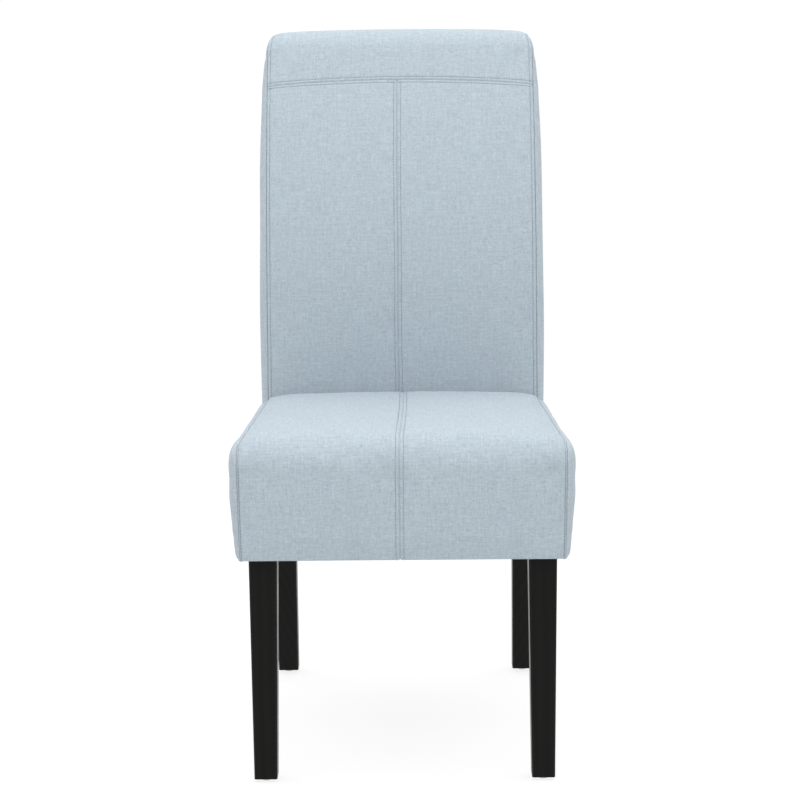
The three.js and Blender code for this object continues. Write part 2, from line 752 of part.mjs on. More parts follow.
// Lengths between two places, close together where the line bends
function stationsBetween(fromLength, toLength) {
  const bendStart = Math.min(Math.max(backStraightLength, fromLength), toLength);
  const step = (postEndLength - backStraightLength) / frameStations;
  const inBend = Array.from({ length: frameStations }, (_, station) => backStraightLength + station * step)
    .filter((length) => length > bendStart && length < toLength);
  const all = [fromLength, bendStart, ...inBend, toLength];
  return all.filter((length, place) => place === 0 || length > all[place - 1]);
}

function stripOutline(fromLength, toLength, front, rear) {
  const stations = stationsBetween(fromLength, toLength);
  return [
    ...stations.map((length) => beside(length, front)),
    ...[...stations].reverse().map((length) => beside(length, rear)),
  ];
}

const farAcross = seatFrontHalf + cutOverrun;
const farBehind = backRearSurface + backKick + cutOverrun;
const farInFront = -backFrontSurface - cutOverrun;
const farUp = backTopRollHeight + backTopRoll + backTopCrown + cutOverrun;

// Padding

const backFoamPlane = postFront - webbingThickness - 2 * restGap;
const linerFront = postRear + restGap;
const rearWaddingPlane = linerFront + linerThickness + restGap;

function addSeatPadding() {
  const foamZone = toSolid(boxBetween(
    new THREE.Vector3(-farAcross, -cutOverrun, seatFoamBottom),
    new THREE.Vector3(farAcross, seatDepth + cutOverrun, seatEdgeHeight + cutOverrun)));
  const foam = seatPadding.intersect(foamZone).subtract(backRoom);
  addPiece("seat_foam", toGeometry(foam), foamLook);
  const belowFoam = seatFoamBottom - restGap;
  const frontZone = toSolid(boxBetween(
    new THREE.Vector3(-farAcross, -cutOverrun, 0),
    new THREE.Vector3(farAcross, frontRailFront - restGap, belowFoam)));
  addPiece("seat_front_padding", toGeometry(seatPadding.intersect(frontZone)), waddingLook);
  for (const [name, side] of [["left", -1], ["right", 1]]) {
    const start = frontRailFront;
    const end = seatDepth + cutOverrun;
    const zone = toSolid(extrudeUp([
      { x: side * (railHalfAt(start) + restGap), y: start },
      { x: side * farAcross, y: start },
      { x: side * farAcross, y: end },
      { x: side * (railHalfAt(end) + restGap), y: end },
    ], 0, belowFoam));
    const padding = seatPadding.intersect(zone).subtract(backRoom);
    addPiece(`seat_side_padding_${name}`, toGeometry(padding), waddingLook);
  }
}

function addBackPadding() {
  const overTop = postEndLength + restGap;
  const frontZone = toSolid(extrudeAcross([
    beside(tuckLength, farInFront),
    ...stationsBetween(tuckLength, overTop).map((length) => beside(length, backFoamPlane)),
    beside(overTop, farBehind),
    beside(overTop, farBehind, farUp),
    beside(overTop, farInFront, farUp),
  ].reverse(), -farAcross, farAcross));
  addPiece("back_foam", toGeometry(backPadding.intersect(frontZone)), foamLook);
  const rearOutline = stripOutline(lowestStation, postEndLength, rearWaddingPlane, farBehind);
  const rearZone = toSolid(extrudeAcross(rearOutline, -farAcross, farAcross));
  addPiece("back_rear_wadding", toGeometry(backPadding.intersect(rearZone)), waddingLook);
  for (const [name, side] of [["left", -1], ["right", 1]]) {
    const inner = side * (postHalf + restGap);
    const zone = toSolid(extrudeAcross([
      beside(lowestStation, farInFront),
      beside(tuckLength - restGap, farInFront),
      ...stationsBetween(tuckLength - restGap, postEndLength).map((length) => beside(length, postFront)),
      ...stationsBetween(lowestStation, postEndLength).reverse()
        .map((length) => beside(length, rearWaddingPlane - restGap)),
    ].reverse(), Math.min(inner, side * farAcross), Math.max(inner, side * farAcross)));
    const railRoom = toSolid(extrudeUp(railOutline(side, restGap), 0, railTop));
    const padding = backPadding.intersect(zone).subtract(railRoom);
    addPiece(`back_side_padding_${name}`, toGeometry(padding), waddingLook);
  }
}

// Frame

const postFrontY = beside(0, postFront).y;
const sideRailEnd = postFrontY - restGap;

function railHalfAt(y) {
  return mix(frontRailHalf, postHalf, (y - frontRailFront) / (postFrontY - frontRailFront));
}

// Plan of one side rail, grown outwards by a clearance where one is asked for
function railOutline(side, clearance) {
  const start = frontRailBack + restGap;
  const end = sideRailEnd;
  return [
    { x: side * (railHalfAt(start) + clearance), y: start - clearance },
    { x: side * (railHalfAt(end) + clearance), y: end + clearance },
    { x: side * (railHalfAt(end) - sideRailThickness), y: end + clearance },
    { x: side * (railHalfAt(start) - sideRailThickness), y: start - clearance },
  ];
}

const postMiddle = (postFront + postRear) / 2;
const crossRailHalf = postHalf - postThickness - restGap;
const crossRailFront = postMiddle - crossRailThickness / 2;
const crossRailRear = postMiddle + crossRailThickness / 2;
const backLowerRailFoot = lowestStation + railHeight + backLowerRailClearance;
const backLowerRailTop = backLowerRailFoot + backLowerRailHeight;

function addFrame() {
  addPiece("seat_front_rail", extrudeUp([
    { x: -frontRailHalf, y: frontRailFront },
    { x: frontRailHalf, y: frontRailFront },
    { x: railHalfAt(frontRailBack), y: frontRailBack },
    { x: -railHalfAt(frontRailBack), y: frontRailBack },
  ], frameBottom, railTop), frameWoodLook);
  const addCrossRail = (name, fromLength, toLength) => {
    const outline = stripOutline(fromLength, toLength, crossRailFront, crossRailRear);
    addPiece(name, extrudeAcross(outline, -crossRailHalf, crossRailHalf), frameWoodLook);
  };
  addCrossRail("seat_rear_rail", lowestStation, lowestStation + railHeight);
  addCrossRail("back_lower_rail", backLowerRailFoot, backLowerRailTop);
  addCrossRail("back_top_rail", postEndLength - backTopRailHeight, postEndLength);
  for (const [name, side] of [["left", -1], ["right", 1]]) {
    const rail = extrudeUp(railOutline(side, 0), frameBottom, railTop);
    addPiece(`seat_side_rail_${name}`, rail, frameWoodLook);
    const outer = side * postHalf;
    const inner = side * (postHalf - postThickness);
    const outline = stripOutline(lowestStation, postEndLength, postFront, postRear);
    const post = extrudeAcross(outline, Math.min(inner, outer), Math.max(inner, outer));
    const insertRoomTop = frameBottom + insertLength + restGap;
    const insertRoom = roomFor(insertRadius, frameBottom - cutOverrun, insertRoomTop, side * rearBoltAcross,
      rearBoltSetback);
    addPiece(`back_post_${name}`, toGeometry(toSolid(post).subtract(insertRoom)), frameWoodLook);
  }
}

const rearBoltAcross = postHalf - postThickness / 2;
const frontBoltAcross = legCentre - boltInset;
const frontLegMiddle = legSetback + legTopWidth / 2;
const frontBoltY = frontLegMiddle + boltInset;
const blockTop = frameBottom + cornerBlockHeight;

function addCornerBlocks() {
  const frontY = frontRailBack + 2 * restGap;
  const frontAcross = (y) => railHalfAt(y) - sideRailThickness - restGap;
  const rearRailFace = beside(0, crossRailFront).y - restGap;
  const postFace = sideRailEnd - restGap;
  const blockFront = postFace - cornerBlockSize + cornerBlockCut;
  for (const [name, side] of [["left", -1], ["right", 1]]) {
    const front = extrudeUp([
      { x: side * frontAcross(frontY), y: frontY },
      { x: side * frontAcross(frontY + cornerBlockSize), y: frontY + cornerBlockSize },
      { x: side * (frontAcross(frontY + cornerBlockSize) - cornerBlockCut), y: frontY + cornerBlockSize },
      { x: side * (frontAcross(frontY) - cornerBlockSize), y: frontY + cornerBlockCut },
      { x: side * (frontAcross(frontY) - cornerBlockSize), y: frontY },
    ], frameBottom, blockTop);
    const boltRoom = roomFor(boltRadius, frameBottom - cutOverrun, blockTop + cutOverrun,
      side * frontBoltAcross, frontBoltY);
    const block = toSolid(front).subtract(boltRoom);
    addPiece(`front_corner_block_${name}`, toGeometry(block), frameWoodLook);
    const rear = extrudeUp([
      { x: side * frontAcross(blockFront), y: blockFront },
      { x: side * frontAcross(postFace), y: postFace },
      { x: side * crossRailHalf, y: postFace },
      { x: side * crossRailHalf, y: rearRailFace },
      { x: side * (crossRailHalf - cornerBlockSize), y: rearRailFace },
      { x: side * (crossRailHalf - cornerBlockSize), y: rearRailFace - cornerBlockCut },
      { x: side * (frontAcross(blockFront) - cornerBlockCut), y: blockFront },
    ], frameBottom, blockTop);
    addPiece(`rear_corner_block_${name}`, rear, frameWoodLook);
  }
}

// Webbing. A strap lies on its rails and steps up by its own thickness where it passes over another.

function strapOutline(start, end, crossings, isOver) {
  const ramp = seatWebbingWidth / 2 + webbingRampMargin;
  const underside = [{ y: start, z: webbingBottom }];
  crossings.forEach((crossing, place) => {
    const z = webbingBottom + (isOver(place) ? webbingStep : 0);
    underside.push({ y: crossing - ramp, z });
    underside.push({ y: crossing + ramp, z });
  });
  underside.push({ y: end, z: webbingBottom });
  const upperSide = underside.map((point) => ({ y: point.y, z: point.z + webbingThickness }));
  return [...underside, ...upperSide.reverse()];
}

function addSeatWebbing() {
  const half = seatWebbingWidth / 2;
  const middle = (seatWebbingCount - 1) / 2;
  const straps = Array.from({ length: seatWebbingCount }, (_, strap) => strap - middle);
  const places = straps.map((strap) => strap * seatWebbingPitch);
  const frontEnd = frontRailBack - webbingOverlap;
  const rearEnd = beside(railHeight, crossRailFront).y + webbingOverlap;
  const centreY = (frontEnd + rearEnd) / 2;
  const rows = places.map((place) => centreY + place);
  places.forEach((place, strap) => {
    const lengthwise = strapOutline(frontEnd, rearEnd, rows, (crossing) => (crossing + strap) % 2 === 1);
    const long = extrudeAcross(lengthwise, place - half, place + half);
    addPiece(`seat_webbing_lengthwise_${strap + 1}`, long, webbingLook);
    const reach = railHalfAt(rows[strap]) - sideRailThickness + webbingOverlap;
    const crosswise = strapOutline(-reach, reach, places, (crossing) => (crossing + strap) % 2 === 0);
    const short = extrudeAcross(crosswise, -half, half).rotateZ(-Math.PI / 2).translate(0, rows[strap], 0);
    addPiece(`seat_webbing_crosswise_${strap + 1}`, short, webbingLook);
  });
}

function addBackWebbing() {
  for (let strap = 0; strap < backWebbingCount; strap += 1) {
    const from = backLowerRailTop + backWebbingClearance + strap * backWebbingPitch;
    const outline = stripOutline(from, from + backWebbingWidth, postFront - restGap - webbingThickness,
      postFront - restGap);
    const reach = postHalf - postThickness + webbingOverlap;
    addPiece(`back_webbing_${strap + 1}`, extrudeAcross(outline, -reach, reach), webbingLook);
  }
}

function addLiner() {
  const outline = stripOutline(lowestStation, postEndLength, linerFront, linerFront + linerThickness);
  addPiece("back_liner", extrudeAcross(outline, -postHalf, postHalf), linerLook);
}

// Legs and what holds them

// One square of a leg with its arrises taken off, anticlockwise from above
function legSection(x, y, z, width, depth) {
  const corners = [[1, 1], [-1, 1], [-1, -1], [1, -1]];
  return corners.flatMap(([signX, signY]) => {
    const onSide = new THREE.Vector3(x + signX * width / 2, y + signY * (depth / 2 - legArris), z);
    const onFace = new THREE.Vector3(x + signX * (width / 2 - legArris), y + signY * depth / 2, z);
    return signX * signY > 0 ? [onSide, onFace] : [onFace, onSide];
  });
}

function legGeometry(top, foot) {
  const points = [...foot, ...top];
  const count = foot.length;
  const loop = Array.from({ length: count }, (_, corner) => corner);
  const faces = [
    [...loop].reverse(),
    loop.map((corner) => corner + count),
    ...loop.map((corner) => [corner, (corner + 1) % count, (corner + 1) % count + count, corner + count]),
  ];
  return bodyFromFaces(points, faces);
}

// The front legs stand upright. The rear legs rake backwards.
function legKinds() {
  const rearHalfTop = legTopWidth * rearLegRakeWidening / 2;
  const rearHalfFoot = legFootWidth * rearLegRakeWidening / 2;
  return [
    {
      kind: "front",
      topY: frontLegMiddle,
      footY: frontLegMiddle,
      widening: 1,
      boltX: frontBoltAcross,
      boltY: frontBoltY,
      boltInLeg: frontBoltInLeg,
      boltTop: blockTop + restGap + nutHeight + boltAboveNut,
    },
    {
      kind: "rear",
      topY: rearLegTopSetback + rearHalfTop,
      footY: rearLegFootSetback + rearHalfFoot,
      widening: rearLegRakeWidening,
      boltX: rearBoltAcross,
      boltY: rearBoltSetback,
      boltInLeg: rearBoltInLeg,
      boltTop: frameBottom + insertLength - boltAboveNut,
    },
  ];
}

function addLegs() {
  const footBottom = glideHeight + restGap;
  const nailTop = glideHeight + nailLength;
  for (const { kind, topY, footY, widening, boltX, boltY, boltInLeg, boltTop } of legKinds()) {
    const boltBottom = legTop - boltInLeg;
    for (const [name, side] of [["left", -1], ["right", 1]]) {
      const topX = side * legCentre;
      const footX = side * (legCentre + legFootOutset);
      const top = legSection(topX, topY, legTop, legTopWidth, legTopWidth * widening);
      const foot = legSection(footX, footY, footBottom, legFootWidth, legFootWidth * widening);
      const boltRoom = roomFor(boltRadius, boltBottom - restGap, legTop + cutOverrun, side * boltX, boltY);
      const nailRoom = roomFor(nailRadius, -cutOverrun, nailTop + restGap, footX, footY);
      const leg = toSolid(legGeometry(top, foot)).subtract(boltRoom).subtract(nailRoom);
      addPiece(`${kind}_leg_${name}`, toGeometry(leg), legWoodLook);
      const bolt = uprightCylinder(boltRadius, boltBottom, boltTop, side * boltX, boltY);
      addPiece(`${kind}_leg_bolt_${name}`, bolt, steelLook);
      addPiece(`${kind}_glide_${name}`, glideGeometry().translate(footX, footY, 0), glideLook);
    }
  }
}

// A domed nail-on glide, flat where it meets the floor
function glideGeometry() {
  const dome = glideDomeShares.map(([across, up]) =>
    new THREE.Vector2(mix(glideFlatRadius, glideRadius, across), glideHeight * up));
  const profile = [
    new THREE.Vector2(0, 0),
    ...dome,
    new THREE.Vector2(nailRadius, glideHeight),
    new THREE.Vector2(nailRadius, glideHeight + nailLength - nailPoint),
    new THREE.Vector2(0, glideHeight + nailLength),
  ];
  return new THREE.LatheGeometry(profile, roundSides).rotateX(Math.PI / 2);
}

function addFixings() {
  const nutSeat = blockTop + restGap;
  const insertTop = frameBottom + insertLength;
  for (const [name, side] of [["left", -1], ["right", 1]]) {
    const frontX = side * frontBoltAcross;
    const nutRadius = nutAcross / Math.sqrt(3);
    const hexagon = uprightCylinder(nutRadius, nutSeat, nutSeat + nutHeight, frontX, frontBoltY, nutSides);
    const flange = uprightCylinder(nutFlangeRadius, nutSeat, nutSeat + nutFlangeHeight, frontX, frontBoltY);
    const nutBore = roomFor(boltRadius, nutSeat - cutOverrun, nutSeat + cutOverrun, frontX, frontBoltY);
    const nut = toSolid(hexagon).add(toSolid(flange)).subtract(nutBore);
    addPiece(`front_leg_nut_${name}`, toGeometry(nut), steelLook);
    const rearX = side * rearBoltAcross;
    const sleeve = uprightCylinder(insertRadius, frameBottom, insertTop, rearX, rearBoltSetback);
    const sleeveBore = roomFor(boltRadius, frameBottom - cutOverrun, insertTop + cutOverrun,
      rearX, rearBoltSetback);
    addPiece(`rear_leg_insert_${name}`, toGeometry(toSolid(sleeve).subtract(sleeveBore)), steelLook);
  }
}

// The dust cover lies inside the hems, with a hole for each bolt
function addDustCover() {
  const rightHem = [...seatSides.right[0], ...backSides.right[0]];
  const inside = rightHem.map((point) => ({ x: point.x - restGap, y: point.y }));
  const frontY = inside[0].y + restGap;
  const rearY = lastOf(inside).y - restGap;
  const rightEdge = inside.filter((point) => point.y > frontY && point.y < rearY);
  const halves = [{ x: inside[0].x, y: frontY }, ...rightEdge, { x: lastOf(inside).x, y: rearY }];
  const outline = [...halves, ...[...halves].reverse().map((point) => ({ x: -point.x, y: point.y }))];
  const bottom = seatBottomHeight + restGap;
  let cover = toSolid(extrudeUp(outline, bottom, bottom + dustCoverThickness));
  for (const side of [-1, 1]) {
    for (const [x, y] of [[frontBoltAcross, frontBoltY], [rearBoltAcross, rearBoltSetback]]) {
      cover = cover.subtract(roomFor(boltRadius, bottom - cutOverrun, bottom + cutOverrun, side * x, y));
    }
  }
  addPiece("dust_cover", toGeometry(cover), dustCoverLook);
}

addSeatFabric();
addBackFabric();
addSeatPadding();
addBackPadding();
addFrame();
addCornerBlocks();
addSeatWebbing();
addBackWebbing();
addLiner();
addLegs();
addFixings();
addDustCover();

// The origin is on the floor, in the middle of the chair's length and width
const extent = new THREE.Box3().setFromObject(chair);
chair.position.set(-(extent.min.x + extent.max.x) / 2, -(extent.min.y + extent.max.y) / 2, -extent.min.z);
chair.updateMatrixWorld(true);

export default chair;
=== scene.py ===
# %% [markdown]
# # An upholstered dining chair, made in Blender around its CAD frame
#
# The chair is a plain upright one that cloth covers right down to the legs. Its solids come from the
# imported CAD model, and each piece made here stands where its solid stands. Blender adds what a solid can't
# show well: the cloth with its seams and stitches, the lacquer on the legs, and the light.

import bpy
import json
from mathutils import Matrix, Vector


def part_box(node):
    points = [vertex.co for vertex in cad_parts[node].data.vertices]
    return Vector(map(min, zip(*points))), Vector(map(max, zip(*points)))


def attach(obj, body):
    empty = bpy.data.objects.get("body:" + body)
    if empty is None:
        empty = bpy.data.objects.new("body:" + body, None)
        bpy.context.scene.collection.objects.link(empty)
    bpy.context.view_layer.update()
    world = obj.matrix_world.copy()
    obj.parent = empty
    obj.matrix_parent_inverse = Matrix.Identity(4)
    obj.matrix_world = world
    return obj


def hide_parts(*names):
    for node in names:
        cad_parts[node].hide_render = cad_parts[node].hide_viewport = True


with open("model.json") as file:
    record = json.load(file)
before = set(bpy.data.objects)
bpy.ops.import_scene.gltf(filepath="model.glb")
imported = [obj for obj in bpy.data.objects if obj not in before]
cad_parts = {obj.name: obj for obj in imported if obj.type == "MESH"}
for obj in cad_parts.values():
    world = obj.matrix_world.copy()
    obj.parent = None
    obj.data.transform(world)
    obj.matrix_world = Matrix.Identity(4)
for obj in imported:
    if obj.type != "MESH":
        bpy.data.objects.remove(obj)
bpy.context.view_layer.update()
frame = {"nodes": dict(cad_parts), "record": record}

# %% The other tools
import json
import math

import bmesh
import bpy
import numpy as np
from mathutils import Matrix, Vector
from mathutils.bvhtree import BVHTree

MM = 0.001
tiny = 1e-9
merge_distance = 0.01 * MM
nodes = frame["nodes"]


def placed(name, data):
    """Puts a mesh, a lamp or a camera into the scene as an object."""
    thing = bpy.data.objects.new(name, data)
    bpy.context.scene.collection.objects.link(thing)
    return thing


print("the frame holds", len(nodes), "solids")

# %% [markdown]
# ## Camera
#
# A photograph of a product is taken from well back with a long lens, so that its upright lines stay
# nearly parallel. The camera could be moved by hand until the picture fits. Here its place and its turn
# were worked out once from the feet, the seat and the back, and are given as plain sizes. It comes
# first, so that every later step can be looked at through it.

# %% Camera
lens_pixels, picture_pixels, sensor_width = 2067.52, 800, 36
camera_place = Vector((13.51, -3015.97, 935.35)) * MM
camera_pan, camera_pitch, camera_roll = -0.0056, 0.1468, 0.0092


def add_camera():
    forward = Vector((math.sin(camera_pan) * math.cos(camera_pitch),
                      math.cos(camera_pan) * math.cos(camera_pitch), -math.sin(camera_pitch)))
    level = Vector((math.cos(camera_pan), -math.sin(camera_pan), 0))
    upright = level.cross(forward)
    right = level * math.cos(camera_roll) - upright * math.sin(camera_roll)
    up = level * math.sin(camera_roll) + upright * math.cos(camera_roll)
    data = bpy.data.cameras.new("photo_camera")
    data.sensor_width = sensor_width
    data.lens = lens_pixels / picture_pixels * sensor_width
    camera = placed("photo_camera", data)
    turn = Matrix((right, up, -forward)).transposed().to_4x4()
    camera.matrix_world = Matrix.Translation(camera_place) @ turn
    bpy.context.scene.camera = camera
    return camera


camera = add_camera()
print("lens", round(camera.data.lens, 1), "mm")

# %% [markdown]
# ## The upholstery's forms
#
# The seat and the back are two padded bodies. Each is a few flat or bent surfaces that roll off towards
# their seams: foam under tight cloth always does, because the seam pulls the edge in while the middle
# stands full. One could sculpt that by hand. Formulas are kept here, because they are the ones the solids
# were made with, so the cloth lands where the frame expects it, and they can be asked for any number of
# points. The sizes are in millimetres, with y = 0 on the line of the seat's front seams.

# %% Sizes of the upholstery
seat_bottom, seat_edge = 316.5, 471.0
seat_front_half, seat_front_drawn_in = 221.5, 2.5
seat_nose_radius = 30.0
seat_top_roll, seat_top_crown = 10.0, 4.0
seat_front_roll, seat_front_crown = 3.0, 2.5
seat_roll_width = 34.0
seat_side_bulge, seat_side_bottom_bulge = 17.5, 10.0
seat_side_full_share, seat_side_rear_share = 0.5, 0.3
seat_side_top_width, seat_side_front_width, seat_side_rear_width = 34.0, 66.0, 26.0
crease_drop, crease_width = 5.0, 16.0
fold_depth, fold_height = 3.5, 7.0

back_half, back_top_drawn_in = 207.5, 2.5
back_depth, back_lean = 469.0, 0.03
back_straight, back_bend_radius, back_length = 286.0, 1035.0, 693.0
back_thickness = 62.0
back_front_roll, back_front_crown = 5.5, 2.5
back_rear_roll, back_rear_crown = 2.5, 1.5
back_top_height, back_top_roll, back_top_crown = 31.0, 9.0, 3.5
back_top_corner_drawn_in = 4.0
back_roll_width, back_side_bulge, back_side_low_share = 22.0, 12.0, 0.62
back_side_fade, back_side_top_width = 60.0, 34.0
back_kick, back_kick_length = 14.0, 160.0
band_length, seam_drop = 54.0, 8.0
cloth_thickness, hem_width = 1.2, 12.0

seat_height = seat_edge - seat_bottom
half_thickness = back_thickness / 2
seat_depth = back_depth - half_thickness - back_front_roll - back_front_crown
cross_seam = back_length - band_length
tuck_depth, front_rail_place = 18.0, 4.5
tuck_length = seat_height - tuck_depth
frame_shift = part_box("seat_front_rail")[0].y / MM - front_rail_place
print("the frame moved the chair by", round(frame_shift, 2), "mm along y")

# %% How a surface rolls off towards its seams
def mix(start, end, share):
    return start + (end - start) * share


def edge_roll(distance, width):
    """A quarter ellipse: 0 on the edge, 1 from one width on."""
    share = np.clip(np.asarray(distance) / width, 0, 1)
    return np.sqrt(1 - (1 - share) ** 2)


def panel_height(across, half, width, roll, crown):
    return roll * edge_roll((1 - np.abs(across)) * half, width) + crown * (1 - across ** 2)


def point_row(x, y, z):
    return np.stack(np.broadcast_arrays(x, y, z), axis=-1).astype(float)


# %% The back's surfaces
def back_line(length):
    """The middle of the back from the bottom up: straight with a slight lean, then bent rearwards."""
    lean = math.atan(back_lean)
    straight = np.minimum(length, back_straight)
    bend = np.maximum(length - back_straight, 0) / back_bend_radius
    y = back_depth - seat_height * back_lean + straight * math.sin(lean)
    z = seat_bottom + straight * math.cos(lean)
    y = y + back_bend_radius * (math.cos(lean) - np.cos(lean + bend))
    z = z + back_bend_radius * (np.sin(lean + bend) - math.sin(lean))
    return y, z, bend


def beside(length, behind, above=0.0):
    y, z, bend = back_line(length)
    return y + np.cos(bend) * behind + np.sin(bend) * above, z - np.sin(bend) * behind + np.cos(bend) * above


def near_top(length):
    return max(1 - (back_length - length) / back_side_fade, 0) ** 2


def back_front(across, length):
    half = back_half - back_top_drawn_in * length / back_length
    seam_weight = max(1 - abs(length - cross_seam) / band_length, 0)
    roll = mix(back_front_roll, back_top_roll, near_top(length))
    crown = mix(back_front_crown, back_top_crown, near_top(length))
    height = panel_height(across, half, back_roll_width, roll, crown)
    y, z = beside(length - seam_drop * across ** 2 * seam_weight, -half_thickness - height)
    return point_row(across * half, y, z)


def back_rear(across, length):
    half = back_half - back_top_drawn_in * length / back_length
    roll = mix(back_rear_roll, back_top_roll, near_top(length))
    crown = mix(back_rear_crown, back_top_crown, near_top(length))
    height = panel_height(across, half, back_roll_width, roll, crown)
    kick = back_kick * max(1 - length / back_kick_length, 0) ** 2
    y, z = beside(length, half_thickness + kick + height)
    return point_row(across * half, y, z)


def back_roll(across, angle):
    half = back_half - back_top_drawn_in - back_top_corner_drawn_in * math.sin(angle)
    height = panel_height(across, half, back_roll_width, back_top_roll, back_top_crown)
    y, z = beside(back_length, -math.cos(angle) * (half_thickness + height),
                  math.sin(angle) * (back_top_height + height))
    return point_row(across * half, y, z)


back_rake = float(back_line(back_length)[0]) - back_depth
print("the back's top is", round(back_rake), "mm further back than the back at the seat")

# %% The seat's surfaces
def seat_half_at(y, z):
    drawn_in = seat_front_drawn_in * (1 - (z - seat_bottom) / seat_height)
    return mix(seat_front_half, back_half, y / seat_depth) - drawn_in * (1 - y / seat_depth)


def seat_top(across, share):
    end = back_front(across, seat_height)[..., 1]
    y = mix(seat_nose_radius, end, share)
    half = seat_half_at(y, seat_edge)
    height = panel_height(across, half, seat_roll_width, seat_top_roll, seat_top_crown)
    drop = crease_drop * (1 - edge_roll(end - y, crease_width))
    return point_row(across * half, y, seat_edge + height - drop)


def seat_nose(across, angle):
    share = angle / (math.pi / 2)
    roll, crown = mix(seat_front_roll, seat_top_roll, share), mix(seat_front_crown, seat_top_crown, share)
    y = seat_nose_radius * (1 - math.cos(angle))
    z = seat_edge - seat_nose_radius * (1 - math.sin(angle))
    half = seat_half_at(y, z)
    height = panel_height(across, half, seat_roll_width, roll, crown)
    return point_row(across * half, y - math.cos(angle) * height, z + math.sin(angle) * height)


def seat_front(across, rise):
    half = seat_half_at(0.0, seat_bottom + rise)
    height = panel_height(across, half, seat_roll_width, seat_front_roll, seat_front_crown)
    return point_row(across * half, -height * edge_roll(rise, seat_roll_width), seat_bottom + rise)


def seat_front_hem(across, inwards):
    half = seat_half_at(0.0, seat_bottom) - inwards
    return point_row(across * half, inwards, seat_bottom)


seat_crown = float(seat_top(np.zeros(1), 0.5)[0, 2])
print("the middle of the seat is", round(seat_crown, 1), "mm above the floor")

# %% [markdown]
# ## Grids of points
#
# Each surface is asked for rows of points, close together where the cloth turns and further apart where
# it lies flat. The strip that covers the seat runs from the hem under the front, up and over the nose, to
# the back. The boxing at each side is a grid of its own whose edge is the strip's edge, so the seams meet.
# An even grid would be simpler, but it would waste faces on the flats and cut corners at the seams.

# %% The covering strips, by the measure along them
nose_start = seat_height - seat_nose_radius
nose_end = nose_start + seat_nose_radius * math.pi / 2
seat_end = nose_end + seat_depth - seat_nose_radius
roll_end = back_length + back_top_height * math.pi
rear_end = roll_end + back_length
wander_on_seat = [(-hem_width, -3.6), (nose_start, -3.6), (nose_end, -2.6), (nose_end + 95, -0.9),
                  (nose_end + 165, 0.4), (nose_end + 240, 1.3), (seat_end, 1.2)]
wander_on_back = [(0, -5.1), (190, -5.1), (228, -6.0), (300, -5.8), (375, -5.3), (450, -5.7), (530, -5.6),
                  (600, -5.0), (back_length, -4.8)]
print("the seat's strip is", round(seat_end), "mm long, the back's", round(rear_end), "mm")


def wandering(columns, place, wander, half):
    """Columns moved sideways in the middle, because the real middle seam wanders, and not at the edges."""
    shift = np.interp(place, *zip(*wander))
    return columns + shift / half * (1 - columns ** 2)


def seat_strip_row(columns, place):
    columns = wandering(columns, place, wander_on_seat, seat_front_half)
    if place < 0:
        return seat_front_hem(columns, -place)
    if place <= nose_start:
        return seat_front(columns, place)
    if place <= nose_end:
        return seat_nose(columns, (place - nose_start) / seat_nose_radius)
    return seat_top(columns, (place - nose_end) / (seat_end - nose_end))


def back_strip_row(columns, place):
    if place <= back_length:
        return back_front(wandering(columns, place, wander_on_back, back_half), place)
    if place < roll_end:
        return back_roll(columns, (place - back_length) / back_top_height)
    if place <= rear_end:
        return back_rear(columns, rear_end - place)
    foot = back_rear(columns, 0.0)
    inwards = place - rear_end
    return point_row(foot[:, 0] - inwards * columns, foot[0, 1] - inwards, seat_bottom)


# %% The boxing at the sides
def folded_foot(bulge, height):
    """How far the cloth is drawn in just above the hem, so that the bottom edge is round."""
    return fold_depth * (1 - edge_roll(height, fold_height)) * np.minimum(bulge / fold_depth, 1)


def seat_boxing(side, heights, runs):
    """Rows by the measure up the front seam, columns by the measure back along the top seam."""
    edge = np.array([float(side)])
    front = np.array([seat_strip_row(edge, max(place, 0))[0] for place in heights])
    top = np.array([seat_strip_row(edge, place)[0] for place in runs])
    corner, end = top[0], top[-1]
    foot_front = seat_strip_row(edge, 0)[0, 1]
    foot_rear = back_front(np.array([1.0]), 0.0)[0, 1]
    run = (top[:, 1] - corner[1]) / (end[1] - corner[1])
    foot_y = mix(foot_front, foot_rear, run)
    rows = []
    for height, point in zip(heights, front):
        rise = (point[2] - seat_bottom) / (corner[2] - seat_bottom)
        rear_z = mix(seat_bottom, end[2], rise)
        rear_y = back_front(np.array([1.0]), rear_z - seat_bottom)[0, 1]
        y = mix(foot_y, top[:, 1], rise) + mix(point[1], rear_y, run)
        y = y - mix(foot_y, mix(corner[1], end[1], run), rise)
        z = mix(seat_bottom, top[:, 2], rise) + mix(point[2], rear_z, run)
        z = z - mix(seat_bottom, mix(corner[2], end[2], run), rise)
        full = mix(seat_side_bottom_bulge, seat_side_bulge, min(rise / seat_side_full_share, 1))
        rear = mix(seat_side_rear_share, 1, edge_roll(rear_y - y, seat_side_rear_width))
        bulge = full * edge_roll(y - point[1], seat_side_front_width) * rear
        bulge = bulge * edge_roll(top[:, 2] - z, seat_side_top_width)
        x = seat_half_at(y, z) + bulge - folded_foot(bulge, z - seat_bottom)
        inwards = max(-height, 0)
        rows.append(point_row(side * (x - inwards), y + inwards * (1 - run), z))
    grid = np.array(rows)
    on_seam = np.array(heights) >= 0
    grid[on_seam, 0] = front[on_seam]
    grid[-1] = top
    return grid


